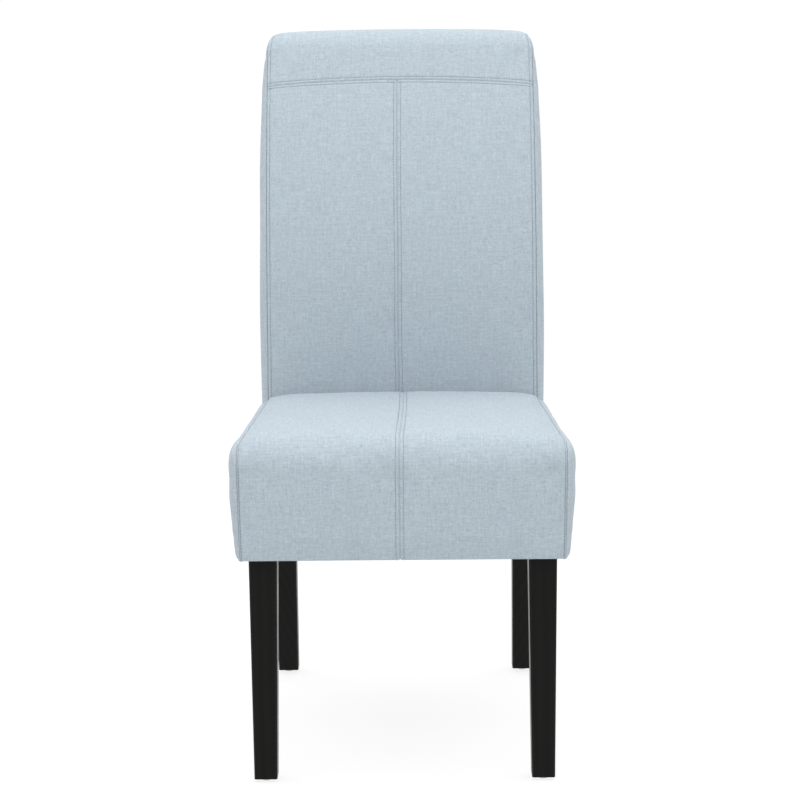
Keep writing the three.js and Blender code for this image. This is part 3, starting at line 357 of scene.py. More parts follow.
def back_boxing(side, heights, places):
    """Rows by the length up the back, columns by the measure round the top roll's end."""
    edge = np.array([float(side)])
    angles = (np.asarray(places) - back_length) / back_top_height
    roll = np.array([back_roll(edge, angle)[0] for angle in angles])
    share = angles / math.pi
    chord = roll[0] + (roll[-1] - roll[0]) * share[:, None]
    rows = []
    for height in heights:
        length = max(height, 0)
        front, rear = back_front(edge, length)[0], back_rear(edge, length)[0]
        rise = mix(back_side_low_share, 1, math.sin(math.pi * length / back_length))
        bulge = back_side_bulge * rise * edge_roll(back_length - length, back_side_top_width)
        bulge = bulge * np.sqrt(np.maximum(1 - (2 * share - 1) ** 2, 0))
        row = front + (rear - front) * share[:, None] + (roll - chord) * near_top(length)
        row[:, 0] += side * (bulge - folded_foot(bulge, length))
        inwards = max(-height, 0)
        if inwards:
            row[:, 0] = side * mix(np.abs(row[:, 0]) - inwards, back_half - inwards, share ** 4)
            row[:, 1] -= inwards * share
        rows.append(row)
    return np.array(rows)


print("the boxing bulges by", seat_side_bulge, "mm on the seat and", back_side_bulge, "mm on the back")

# %% [markdown]
# ## Stuffing the covers
#
# Formulas give a cover that is too perfect. On a real chair the foam pushes the cloth out between its
# seams, and the seams, which the thread has drawn up a little, gather it in faint puckers. Both come from
# a cloth simulation: the whole cover of the seat, and then of the back, is blown up gently with its seams
# held, and the cloth near them is given slightly more length than the seam has. One could paint such
# wrinkles, but they would not know where the seams are. The simulation runs on a coarse grid, and only
# how far its points moved is kept, and spread smoothly over the fine grid of the finished panels.

# %% Smooth spreading from a coarse grid to a fine one
def evenly(start, end, size):
    """Places from start to end, as near to one size apart as whole steps allow."""
    count = max(int(round(abs(end - start) / size)), 1)
    return list(np.linspace(start, end, count + 1))


def spread_weights(known, wanted):
    """How much each known place counts at each wanted place, along a smooth curve through them."""
    known = np.asarray(known, float)
    wanted = np.clip(wanted, known[0], known[-1])
    count = len(known)
    slopes = np.zeros((count, count))
    for place in range(count):
        before, after = max(place - 1, 0), min(place + 1, count - 1)
        slopes[place, after] += 1 / (known[after] - known[before])
        slopes[place, before] -= 1 / (known[after] - known[before])
    start = np.clip(np.searchsorted(known, wanted) - 1, 0, count - 2)
    width = (known[start + 1] - known[start])[:, None]
    share = ((wanted - known[start]) / width[:, 0])[:, None]
    one = np.eye(count)
    return ((2 * share ** 3 - 3 * share ** 2 + 1) * one[start]
            + (share ** 3 - 2 * share ** 2 + share) * width * slopes[start]
            + (3 * share ** 2 - 2 * share ** 3) * one[start + 1]
            + (share ** 3 - share ** 2) * width * slopes[start + 1])


def spread(moves, known_rows, known_columns, rows, columns):
    """Moves known on a coarse grid, worked out for a fine one."""
    return np.einsum("ri,ijk,cj->rck", spread_weights(known_rows, rows), moves,
                     spread_weights(known_columns, columns))


print("halfway between places 1 and 2 of four, they count", spread_weights(range(4), [1.5])[0].round(3))

# %% One cover from several grids
def frame_points(grid):
    """Points in the frame, in metres, from points in millimetres."""
    return (np.asarray(grid) + np.array([0, frame_shift, 0])) * MM


def grid_faces(rows, columns, outward, first=0):
    place = first + np.arange(rows * columns).reshape(rows, columns)
    corners = [place[:-1, :-1], place[:-1, 1:], place[1:, 1:], place[1:, :-1]]
    faces = np.stack([corner.ravel() for corner in corners], axis=1)
    return faces if outward > 0 else faces[:, ::-1]


def shared_corners(grids):
    """Counts points that lie on each other once. Returns each point's number and the points by number."""
    points = np.concatenate([grid.reshape(-1, 3) for grid, outward in grids])
    numbers = {}
    shared = np.array([numbers.setdefault(tuple(key), len(numbers)) for key in np.round(points, 2)])
    first = np.zeros(len(numbers), int)
    first[shared[::-1]] = np.arange(len(points))[::-1]
    return shared, points[first]


# %% Cloth that is blown up while its seams are held
cover_pressure, seam_fullness, most_move = 3.0, 0.012, 4.0
cloth_mass, stretch_stiffness, shear_stiffness, bend_stiffness = 0.3, 40, 15, 0.6
cloth_steps, cloth_quality, held_from = 20, 6, 0.999


def add_cloth(cover, nearness):
    """Blows up a cover that is held where nearness to a seam is 1. The cloth gets a small extra share of
    length close to the seams, which gathers it there."""
    held = cover.vertex_groups.new(name="held_by_seams")
    held.add([int(i) for i in np.flatnonzero(nearness >= held_from)], 1.0, "REPLACE")
    flat = cover.vertex_groups.new(name="away_from_seams")
    for i, value in enumerate(nearness):
        flat.add([i], float(1 - value), "REPLACE")
    cloth = cover.modifiers.new("cloth", "CLOTH")
    fabric = cloth.settings
    fabric.quality = cloth_quality
    fabric.mass = cloth_mass
    fabric.tension_stiffness = stretch_stiffness
    fabric.compression_stiffness = stretch_stiffness
    fabric.shear_stiffness = shear_stiffness
    fabric.bending_stiffness = bend_stiffness
    fabric.use_pressure = True
    fabric.uniform_pressure_force = cover_pressure
    fabric.vertex_group_mass = "held_by_seams"
    fabric.vertex_group_shrink = "away_from_seams"
    fabric.shrink_min = -seam_fullness
    fabric.shrink_max = 0.0
    fabric.effector_weights.gravity = 0
    cloth.collision_settings.use_collision = False
    cloth.point_cache.frame_start = 1
    cloth.point_cache.frame_end = cloth_steps


print("the cloth settles in", cloth_steps, "steps, with", seam_fullness * 100, "% more length at its seams")

# %% Stuffing one cover
def stuffed(name, grids, seams):
    """Stuffs one cover, made of several grids that share their edges, and returns how far each grid's
    points moved. Each grid comes with its outward side. For each grid, seams holds 1 on a seam, falling
    to 0 away from it."""
    shared, points = shared_corners(grids)
    starts = np.cumsum([0] + [grid[..., 0].size for grid, outward in grids])
    faces = [shared[grid_faces(*grid.shape[:2], outward, start)]
             for (grid, outward), start in zip(grids, starts)]
    nearness = np.zeros(len(points))
    np.maximum.at(nearness, shared, np.concatenate([seam.ravel() for seam in seams]))
    mesh = bpy.data.meshes.new(name)
    mesh.from_pydata((points * MM).tolist(), [], np.concatenate(faces).tolist())
    cover = placed(name, mesh)
    add_cloth(cover, nearness)
    for moment in range(1, cloth_steps + 1):
        bpy.context.scene.frame_set(moment)
    settled = cover.evaluated_get(bpy.context.evaluated_depsgraph_get()).to_mesh()
    after = np.empty(len(points) * 3)
    settled.vertices.foreach_get("co", after)
    moves = after.reshape(-1, 3) / MM - points
    bpy.context.scene.frame_set(1)
    bpy.data.objects.remove(cover)
    bpy.data.meshes.remove(mesh)
    reach = np.linalg.norm(moves, axis=1, keepdims=True)
    print(name, "points", len(points), "moved", round(float(reach.mean()), 2), "mm on average, at most",
          round(float(reach.max()), 2))
    moves = moves * most_move * np.tanh(reach / most_move) / np.maximum(reach, tiny)
    return [moves[shared[start:end]].reshape(grid.shape)
            for (grid, outward), start, end in zip(grids, starts, starts[1:])]


# %% Close to a seam
seam_reach, coarse = 26.0, 7.0


def closeness(distance):
    """1 on a seam and 0 from the reach on."""
    return np.clip(1 - np.asarray(distance) / seam_reach, 0, 1)


def mirrored_columns(half):
    """Coarse columns over the whole width, as shares from -1 to 1, with one on the middle seam."""
    right = evenly(0, 1, coarse / half)
    return np.array([-share for share in right][:0:-1] + right)


def boxing_seams(heights, runs, top):
    """Closeness for the boxing, which has a seam along its top row and along its first and last column."""
    heights, runs = np.array(heights), np.array(runs)
    ends = np.maximum(closeness(runs - runs[0]), closeness(runs[-1] - runs))
    rows = np.maximum(closeness(np.maximum(heights, 0)), closeness(top - heights))
    return np.maximum(rows[:, None], ends[None, :])


print("the coarse cells are", coarse, "mm wide, and a seam is felt", seam_reach, "mm away")

# %% Stuff the seat
nose_middle = (nose_start + nose_end) / 2
seat_sim_rows = [-hem_width] + evenly(0, nose_start, coarse) + evenly(nose_start, nose_middle, coarse)[1:]
seat_sim_runs = evenly(nose_middle, nose_end, coarse) + evenly(nose_end, seat_end, coarse)[1:]
seat_sim_along = seat_sim_rows + seat_sim_runs[1:]
seat_sim_columns = mirrored_columns(seat_front_half)


def seat_strip_at(along, columns):
    return np.array([seat_strip_row(columns, place) for place in along])


def seat_seams(along, columns):
    along, across = np.array(along), np.abs(columns) * seat_front_half
    near = np.maximum(closeness(seat_front_half - across), closeness(across))
    ends = np.maximum(closeness(np.maximum(along, 0)), closeness(seat_end - along))
    return np.maximum(near[None, :], ends[:, None])


seat_grids = [(seat_strip_at(seat_sim_along, seat_sim_columns), 1),
              (seat_boxing(-1, seat_sim_rows, seat_sim_runs), -1),
              (seat_boxing(1, seat_sim_rows, seat_sim_runs), 1)]
seat_near = [seat_seams(seat_sim_along, seat_sim_columns)]
seat_near += [boxing_seams(seat_sim_rows, seat_sim_runs, nose_middle)] * 2
seat_moves = stuffed("seat_cover_simulated", seat_grids, seat_near)

# %% Stuff the back
back_sim_rows = [-hem_width] + evenly(0, cross_seam, coarse) + evenly(cross_seam, back_length, coarse)[1:]
back_sim_places = evenly(back_length, roll_end, coarse)
back_sim_along = back_sim_rows[1:] + back_sim_places[1:]
back_sim_along += [rear_end - height for height in back_sim_rows[::-1][1:]]
back_sim_columns = mirrored_columns(back_half)


def back_strip_at(along, columns):
    return np.array([back_strip_row(columns, place) for place in along])


def back_seams(along, columns):
    along = np.array(along)
    edge, middle = closeness((1 - np.abs(columns)) * back_half), closeness(np.abs(columns) * back_half)
    crossing = closeness(np.minimum(np.abs(along - cross_seam), np.abs(along - rear_end + cross_seam)))
    ends = np.maximum(closeness(along), closeness(rear_end - along))
    hidden = closeness(np.maximum(along - tuck_length, 0))
    near = np.maximum(edge[None, :], np.maximum(crossing, np.maximum(ends, hidden))[:, None])
    return np.where((along < cross_seam)[:, None], np.maximum(near, middle[None, :]), near)


back_grids = [(back_strip_at(back_sim_along, back_sim_columns), 1),
              (back_boxing(-1, back_sim_rows, back_sim_places), -1),
              (back_boxing(1, back_sim_rows, back_sim_places), 1)]
back_near = [back_seams(back_sim_along, back_sim_columns)]
back_near += [boxing_seams(back_sim_rows, back_sim_places, back_length)] * 2
back_moves = stuffed("back_cover_simulated", back_grids, back_near)
# The roll and the lumbar curve are wound tight, so the cloth over them rises less than the boxing does.
strip_share = 0.4
back_moves[0] = back_moves[0] * strip_share

# %% [markdown]
# ## Seams in the cloth
#
# Where two panels are sewn together the cloth is pulled down to the thread. On this chair the spare cloth
# behind the seam is then pressed flat and held by a row of stitches on each side, so each seam shows as a
# narrow groove, two low ridges and two fine dips. A bump map could fake that, but not at the outline or
# in a close view, so the points themselves are moved along the cloth's normals.

# %% The relief of a sewn seam
valley_width, valley_depth = 7.0, 0.6
ridge_height, dip_depth, dip_width = 0.35, 0.45, 0.9
groove_width, groove_depth = 0.85, 0.8
edge_groove_width, edge_groove_depth = 2.5, 0.25
ridge_width_share = 0.28
seat_rows_from_seam, back_rows_from_seam, cross_rows_from_seam = 5.3, 5.3, 4.6
back_edge_rows_from_seam, seat_edge_rows_from_seam = 5.0, 2.4


def row_relief(distance, row_place):
    """The ridge of spare cloth beside a seam, and the dip where the stitches hold it."""
    ridge = np.exp(-((distance - row_place / 2) / (row_place * ridge_width_share)) ** 2)
    return ridge_height * ridge - dip_depth * np.exp(-((distance - row_place) / dip_width) ** 2)


def flat_seam(distance, row_place):
    """How far the cloth stands out beside a seam that lies in a flat surface."""
    valley = valley_depth * np.maximum(1 - distance / valley_width, 0) ** 2
    groove = groove_depth * np.exp(-(distance / groove_width) ** 2)
    return row_relief(distance, row_place) - valley - groove


def edge_seam(distance, row_place=None):
    """The same at a seam on an edge, with a row of stitches on this side or without."""
    groove = edge_groove_depth * np.maximum(1 - distance / edge_groove_width, 0) ** 2
    return -groove if row_place is None else row_relief(distance, row_place) - groove


def unit(arrows):
    return arrows / np.maximum(np.linalg.norm(arrows, axis=2, keepdims=True), tiny)


def normals_of(grid, outward):
    """Unit normals of a grid of points. They point out where columns run right and rows run up."""
    normals = np.cross(np.gradient(grid, axis=1), np.gradient(grid, axis=0))
    return outward * unit(normals)


def measure(grid, axis):
    """The length along a grid's rows (axis 0) or columns (axis 1), from its first row or column."""
    steps = np.linalg.norm(np.diff(grid, axis=axis), axis=2)
    start = np.zeros_like(np.take(steps, [0], axis=axis))
    return np.concatenate([start, np.cumsum(steps, axis=axis)], axis=axis)


print("a seam in a flat surface is", -round(float(flat_seam(0, seat_rows_from_seam)), 2), "mm deep")

# %% [markdown]
# ## Panels as meshes
#
# Each panel of the cover is one piece of linen, a little over a millimetre thick. Flat pieces could be
# draped over the padding, but then their seams would drift. So each panel is made in its place, as a grid
# of four-sided faces, and its flat size is measured from that. Its UV map is the cloth's own flat measure
# in metres, so a weave drawn on it keeps its size and follows the panel round every bend. The Solidify
# modifier gives the cloth its thickness, inwards, so that the outside stays where it was measured.

# %% The places of a panel's rows and columns
cell = 4.0
seam_steps = [0.0, 0.15, 0.5, 1.0, 1.6, 2.4, 3.2, 4.0, 4.6, 5.3, 6.0, 7.0, 8.2, 10.0]
fold_steps = [0.0, 0.12, 0.45, 1.0, 1.8, 2.9, 4.4, 6.4, 9.0]
hem_steps = [-hem_width, -8.0, -4.5, -2.0, -0.8, -0.25]
crease_steps = [0.8, 1.4, 2.4, 4.0, 6.0, 8.5, 12.0]


def between(start, end, first=seam_steps, last=seam_steps):
    """Places from one seam to the next, with fine steps at each end."""
    head = [start + step for step in first]
    tail = [end - step for step in reversed(last)]
    return head + evenly(head[-1], tail[0], cell)[1:-1] + tail


print("cells are", cell, "mm on the flats and", seam_steps[1], "mm at a seam")

# %% A grid as a mesh of cloth
def cloth_mesh(name, grid, outward):
    rows, columns = grid.shape[:2]
    faces = grid_faces(rows, columns, outward)
    mesh = bpy.data.meshes.new(name)
    mesh.from_pydata(frame_points(grid).reshape(-1, 3).tolist(), [], faces.tolist())
    across, along = measure(grid, 1), measure(grid, 0)
    flat = np.stack([across - across[:, -1:] / 2, along], axis=2).reshape(-1, 2) * MM
    mesh.uv_layers.new(name="cloth").data.foreach_set("uv", flat[faces.ravel()].ravel())
    mesh.polygons.foreach_set("use_smooth", [True] * len(mesh.polygons))
    return mesh


# %% Edges that are sewn, and the roll let down
turned_in, fade_width = 2.0, 9.0
roll_drop_from, roll_drop_full, roll_drop, roll_corner_drop = 900.0, 1036.0, 4.0, 1.6
roll_corner_from, roll_corner_full = 150.0, 200.0


def smooth(share):
    """A share from 0 to 1 that starts and ends gently."""
    return share ** 2 * (3 - 2 * share)


def turned_edges(grid, outward, edges):
    """Adds a row or column at each sewn edge, where the spare cloth turns in behind the seam. It goes
    straight in at a seam in a flat surface, and slants back under its own panel at a corner."""
    for axis, end, slant in edges:
        edge, inner = np.take(grid, [end], axis=axis), np.take(grid, [3 if end == 0 else -4], axis=axis)
        inwards = slant * unit(inner - edge) - np.take(normals_of(grid, outward), [end], axis=axis)
        edge = edge + turned_in * unit(inwards)
        grid = np.concatenate([edge, grid] if end == 0 else [grid, edge], axis=axis)
    return grid


def settled(grid, moves, sewn):
    """Adds the simulated moves, faded out close to the sewn edges, so that neighbours still meet there."""
    faded = np.ones(grid.shape[:2])
    for axis, end, slant in sewn:
        along = measure(grid, axis)
        distance = along if end == 0 else np.take(along, [-1], axis=axis) - along
        faded = np.minimum(faded, np.clip(distance / fade_width, 0, 1))
    return grid + moves * smooth(faded)[..., None]


def lowered(grid):
    """Lets the top roll down a little, and more at its corners, as the photograph shows it."""
    rise = np.clip((grid[..., 2] - roll_drop_from) / (roll_drop_full - roll_drop_from), 0, 1)
    across = np.abs(grid[..., 0])
    corner = np.clip((across - roll_corner_from) / (roll_corner_full - roll_corner_from), 0, 1)
    drop = (roll_drop + roll_corner_drop * corner) * smooth(rise)
    return grid - drop[..., None] * np.array([0, 0, 1])


print("sewn edges turn in by", turned_in, "mm, and the top roll is let down by", roll_drop, "mm")

# %% Making one panel
panels = {}


def cloth_panel(node, grid, moves, outward, relief, rests_on, sewn):
    """Sews one panel: the grid moved out by its relief, its sewn edges turned in, given its thickness and
    put in the node's place. Each sewn edge is (axis, end, slant), with end 0 for the first and -1 for the
    last row or column."""
    grid = lowered(settled(grid, moves, sewn))
    grid = grid + normals_of(grid, outward) * relief[..., None]
    panels[node] = {"grid": grid, "outward": outward, "rests_on": rests_on}
    grid = turned_edges(grid, outward, sewn)
    piece = placed(f"{node}_cloth", cloth_mesh(f"{node}_cloth", grid, outward))
    panels[node]["piece"] = piece
    thick = piece.modifiers.new("cloth_thickness", "SOLIDIFY")
    thick.thickness = cloth_thickness * MM
    thick.offset = -1
    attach(piece, "root")
    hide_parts(node)


# %% [markdown]
# ## The seat's covers
#
# A left and a right half are sewn together down the middle and to the boxing at the sides. The middle
# seam isn't quite straight on the real chair: the cloth was drawn over the foam by hand. One wide panel
# with a groove pressed into it would look much the same from afar. Two are made, because they can be
# taken apart, and because the edges then turn in behind the seam as sewn cloth does.

# %% Seat covers
def outer_edge_slants(columns):
    """Both side edges of a half are sewn: the outer one at a corner, the inner one on the flat."""
    return [(1, 0, columns[0] < 0), (1, -1, columns[-1] > 0)]


seat_columns = np.array(between(0, seat_front_half)) / seat_front_half
seat_along = hem_steps + between(0, seat_end, fold_steps, crease_steps)
for node, columns in (("seat_cover_left", -seat_columns[::-1]), ("seat_cover_right", seat_columns)):
    grid = seat_strip_at(seat_along, columns)
    moves = spread(seat_moves[0], seat_sim_along, seat_sim_columns, seat_along, columns)
    relief = flat_seam(np.abs(columns) * seat_front_half, seat_rows_from_seam)
    relief = relief + edge_seam((1 - np.abs(columns)) * seat_front_half, seat_edge_rows_from_seam)
    cloth_panel(node, grid, moves, 1, np.tile(relief, (len(seat_along), 1)),
                ["seat_foam", "seat_front_padding"], outer_edge_slants(columns))

# %% Boxing of the seat
boxing_rows = hem_steps + between(0, nose_middle, fold_steps, seam_steps)
boxing_runs = between(nose_middle, seat_end, seam_steps, crease_steps)
for side, outward, known in (("left", -1, seat_moves[1]), ("right", 1, seat_moves[2])):
    grid = seat_boxing(outward, boxing_rows, boxing_runs)
    moves = spread(known, seat_sim_rows, seat_sim_runs, boxing_rows, boxing_runs)
    from_top = (nose_middle - np.array(boxing_rows))[:, None]
    from_front = (np.array(boxing_runs) - nose_middle)[None, :]
    cloth_panel(f"seat_side_panel_{side}", grid, moves, outward, edge_seam(np.minimum(from_top, from_front)),
                [f"seat_side_padding_{side}", "seat_foam"], [(0, -1, 1), (1, 0, 1)])

# %% [markdown]
# ## The back's covers
#
# Two front panels meet at the upright of the T. A band is sewn across above them, goes over the top roll
# and comes down behind to meet the plain rear panel. The boxing closes both sides. Each panel could have
# a form of its own. Here one long strip of rows runs up the front, over the roll and down the rear, and
# the panels are cut from it, so that neighbours share the row in which they are sewn.

# %% Back covers, band and rear panel
back_columns = np.array(between(0, back_half)) / back_half
left_columns, right_columns = -back_columns[::-1], back_columns
whole_columns = np.concatenate([left_columns, right_columns])
cover_along = between(tuck_length, cross_seam, [0.0])
band_along = between(cross_seam, rear_end - cross_seam)
rear_along = between(rear_end - cross_seam, rear_end, seam_steps, fold_steps)
rear_along += [rear_end - step for step in hem_steps[::-1]]


def back_panel(node, along, columns, relief, rests_on, sewn):
    grid = back_strip_at(along, columns)
    moves = spread(back_moves[0], back_sim_along, back_sim_columns, along, columns)
    cloth_panel(node, grid, moves, 1, relief, rests_on, sewn)


def edge_rows(columns, row_place=None):
    return edge_seam((1 - np.abs(columns)) * back_half, row_place)[None, :]


for node, columns in (("back_cover_left", left_columns), ("back_cover_right", right_columns)):
    below = (cross_seam - np.array(cover_along))[:, None]
    relief = flat_seam(np.abs(columns) * back_half, back_rows_from_seam)[None, :]
    relief = relief + flat_seam(below, cross_rows_from_seam) + edge_rows(columns, back_edge_rows_from_seam)
    back_panel(node, cover_along, columns, relief, ["back_foam"],
               outer_edge_slants(columns) + [(0, -1, 0)])

from_front = (np.array(band_along) - cross_seam)[:, None]
from_rear = (rear_end - cross_seam - np.array(band_along))[:, None]
relief = flat_seam(from_front, cross_rows_from_seam) + edge_seam(from_rear)
relief = relief + edge_rows(whole_columns, back_edge_rows_from_seam)
back_panel("back_top_band", band_along, whole_columns, relief, ["back_foam", "back_rear_wadding"],
           [(1, 0, 1), (1, -1, 1), (0, 0, 0), (0, -1, 0)])

from_band = (np.array(rear_along) - rear_end + cross_seam)[:, None]
back_panel("back_rear_panel", rear_along, whole_columns, edge_seam(from_band) + edge_rows(whole_columns),
           ["back_rear_wadding"], [(1, 0, 1), (1, -1, 1), (0, 0, 0)])

# %% Boxing of the back
back_boxing_rows = hem_steps + between(0, back_length, fold_steps, seam_steps)
back_boxing_places = between(back_length, roll_end)
for side, outward, known in (("left", -1, back_moves[1]), ("right", 1, back_moves[2])):
    grid = back_boxing(outward, back_boxing_rows, back_boxing_places)
    moves = spread(known, back_sim_rows, back_sim_places, back_boxing_rows, back_boxing_places)
    round_end = measure(grid, 1)
    relief = edge_seam(np.minimum(round_end, round_end[:, -1:] - round_end))
    cloth_panel(f"back_side_panel_{side}", grid, moves, outward, relief, [f"back_side_padding_{side}"],
                [(1, 0, 1), (1, -1, 1)])

# %% [markdown]
# ## Padding under the cloth
#
# Foam and wadding can't be seen, but a part that is taken apart should still have them, soft at their
# edges. A bevel would round the edges alone, and foam is soft all over. So each one starts as a copy of
# its solid, and a voxel remesh gives it an even skin, which is smoothed and drawn in a little. Last, it
# is pressed in wherever it would come too close to the outside of the cloth.

# %% Tools for the padding
padding_clearance, cloth_room, cloth_search, smoothing_rounds = 0.4, 1.6, 9.0, 4


def plain_copy(node, name):
    """A copy of a CAD node's mesh with its loose triangles joined."""
    mesh = nodes[node].data.copy()
    mesh.name = name
    work = bmesh.new()
    work.from_mesh(mesh)
    bmesh.ops.remove_doubles(work, verts=work.verts, dist=merge_distance)
    work.to_mesh(mesh)
    work.free()
    mesh.materials.clear()
    return placed(name, mesh)


def made_plain(piece):
    """Turns a piece with modifiers into one plain mesh."""
    graph = bpy.context.evaluated_depsgraph_get()
    old = piece.data
    piece.data = bpy.data.meshes.new_from_object(piece.evaluated_get(graph))
    piece.modifiers.clear()
    bpy.data.meshes.remove(old)
    piece.data.name = piece.name


def drawn_in(piece, depth):
    """Moves a piece's whole skin inwards."""
    count = len(piece.data.vertices) * 3
    places, outwards = np.empty(count), np.empty(count)
    piece.data.vertices.foreach_get("co", places)
    piece.data.vertex_normals.foreach_get("vector", outwards)
    piece.data.vertices.foreach_set("co", places - outwards * depth)
    piece.data.polygons.foreach_set("use_smooth", [True] * len(piece.data.polygons))


def under_the_cloth(piece, node):
    """Presses padding in wherever it would come too close to the outside of the cloth over it."""
    for panel in panels.values():
        if node not in panel["rests_on"]:
            continue
        rows, columns = panel["grid"].shape[:2]
        tree = BVHTree.FromPolygons(frame_points(panel["grid"]).reshape(-1, 3).tolist(),
                                    grid_faces(rows, columns, panel["outward"]).tolist())
        for vertex in piece.data.vertices:
            place, outwards, face, distance = tree.find_nearest(vertex.co, cloth_search * MM)
            if place is not None:
                over = (vertex.co - place).dot(outwards) + cloth_room * MM
                if over > 0:
                    vertex.co -= outwards * over


# %% Foam and wadding, each with the size of its skin's cells
padding = {}
paddings = [("seat_foam", "foam", 5.0), ("back_foam", "foam", 5.0), ("seat_front_padding", "wadding", 1.2),
            ("back_rear_wadding", "wadding", 2.6)]
for side in ("left", "right"):
    paddings += [(f"{body}_side_padding_{side}", "wadding", 2.5) for body in ("seat", "back")]
for node, slot, skin_cell in paddings:
    piece = plain_copy(node, f"{node}_soft")
    skin = piece.modifiers.new("even_skin", "REMESH")
    skin.mode = "VOXEL"
    skin.voxel_size = skin_cell * MM
    soft = piece.modifiers.new("soft_edges", "SMOOTH")
    soft.iterations = smoothing_rounds
    made_plain(piece)
    drawn_in(piece, padding_clearance * MM)
    under_the_cloth(piece, node)
    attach(piece, "root")
    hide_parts(node)
    padding[node] = (piece, slot)
    print(piece.name, len(piece.data.polygons), "faces")

# %% [markdown]
# ## Shader groups
#
# Four effects are each a group of nodes with named inputs and outputs: the linen weave, the open weave
# of strapping, the grain of timber, and the worn edges and fine scratches of things that are handled. The
# last three serve more than one material, and are built only once for all of them. A group puts out
# colors, masks and heights. The shader that uses them stays in the material.

# %% Small helpers for shader trees
def shader_group(name, inputs, outputs):
    """An empty group with named sockets. Inputs are (name, kind, value), outputs are (name, kind)."""
    group = bpy.data.node_groups.new(name, "ShaderNodeTree")
    for socket_name, kind, value in inputs:
        socket = group.interface.new_socket(name=socket_name, in_out="INPUT", socket_type=kind)
        if value is not None:
            socket.default_value = value
    for socket_name, kind in outputs:
        group.interface.new_socket(name=socket_name, in_out="OUTPUT", socket_type=kind)
    return group, group.nodes.new("NodeGroupInput").outputs, group.nodes.new("NodeGroupOutput").inputs


def set_value(tree, socket, value):
    """Joins a socket to another one, or gives it a constant."""
    if isinstance(value, bpy.types.NodeSocket):
        tree.links.new(value, socket)
    else:
        socket.default_value = value


def calc(tree, operation, first, second=0.0, third=0.0, clamp=False):
    node = tree.nodes.new("ShaderNodeMath")
    node.operation, node.use_clamp = operation, clamp
    for socket, value in zip(node.inputs, (first, second, third)):
        set_value(tree, socket, value)
    return node.outputs["Value"]


def stretch(tree, vector, scale):
    """Scales a vector, so that a round speck of noise becomes a thread or a grain line."""
    node = tree.nodes.new("ShaderNodeVectorMath")
    node.operation = "MULTIPLY"
    set_value(tree, node.inputs[0], vector)
    set_value(tree, node.inputs[1], scale)
    return node.outputs["Vector"]


def noise(tree, vector, scale, detail=2.0, roughness=0.5):
    node = tree.nodes.new("ShaderNodeTexNoise")
    for name, value in (("Vector", vector), ("Scale", scale), ("Detail", detail), ("Roughness", roughness)):
        set_value(tree, node.inputs[name], value)
    return node.outputs["Fac"]


def ramp(tree, value, low, high, to_low=0.0, to_high=1.0):
    """Maps a value's range to another one, held at both ends."""
    node = tree.nodes.new("ShaderNodeMapRange")
    for name, number in zip(("Value", "From Min", "From Max", "To Min", "To Max"),
                            (value, low, high, to_low, to_high)):
        set_value(tree, node.inputs[name], number)
    return node.outputs["Result"]


def blend(tree, share, first, second):
    """Goes from a first color to a second one."""
    node = tree.nodes.new("ShaderNodeMix")
    node.data_type = "RGBA"
    for name, value in (("Factor", share), ("A", first), ("B", second)):
        set_value(tree, [item for item in node.inputs if item.name == name and item.enabled][0], value)
    return [item for item in node.outputs if item.enabled][0]


def bump(tree, height, distance, strength=1.0):
    node = tree.nodes.new("ShaderNodeBump")
    for name, value in (("Height", height), ("Distance", distance), ("Strength", strength)):
        set_value(tree, node.inputs[name], value)
    return node.outputs["Normal"]


# %% [markdown]
# ## The linen weave
#
# Linen yarn is spun from fibres of uneven length, so it has thick places (slubs). They show as short pale
# and dark dashes that run both along and across the cloth. A picture of cloth could be tiled over the
# panels, but it would repeat. Here two waves cross for the threads, and noise drawn out along each of
# them makes the slubs.

# %% Threads that cross
def crossed_threads(tree, place, count, crossing):
    """Warp and weft that go over each other by turns: 1 on the crown of a thread, 0 in the dips."""
    parts = tree.nodes.new("ShaderNodeSeparateXYZ")
    tree.links.new(place, parts.inputs[0])
    turns = calc(tree, "MULTIPLY", count, math.pi)
    across = calc(tree, "SINE", calc(tree, "MULTIPLY", parts.outputs["X"], turns))
    along = calc(tree, "SINE", calc(tree, "MULTIPLY", parts.outputs["Y"], turns))
    over = ramp(tree, calc(tree, "MULTIPLY", across, along), -crossing, crossing)
    warp = calc(tree, "MULTIPLY", over, calc(tree, "ABSOLUTE", across))
    weft = calc(tree, "MULTIPLY", calc(tree, "SUBTRACT", 1.0, over), calc(tree, "ABSOLUTE", along))
    return calc(tree, "ADD", warp, weft)


def drawn_out_noise(tree, place, narrow, long, detail, roughness=0.5):
    """Noise drawn out along the warp, and its sum with the same noise along the weft."""
    warp = noise(tree, stretch(tree, place, (narrow, long, 1.0)), 1.0, detail, roughness)
    weft = noise(tree, stretch(tree, place, (long, narrow, 1.0)), 1.0, detail, roughness)
    return warp, calc(tree, "ADD", warp, weft)


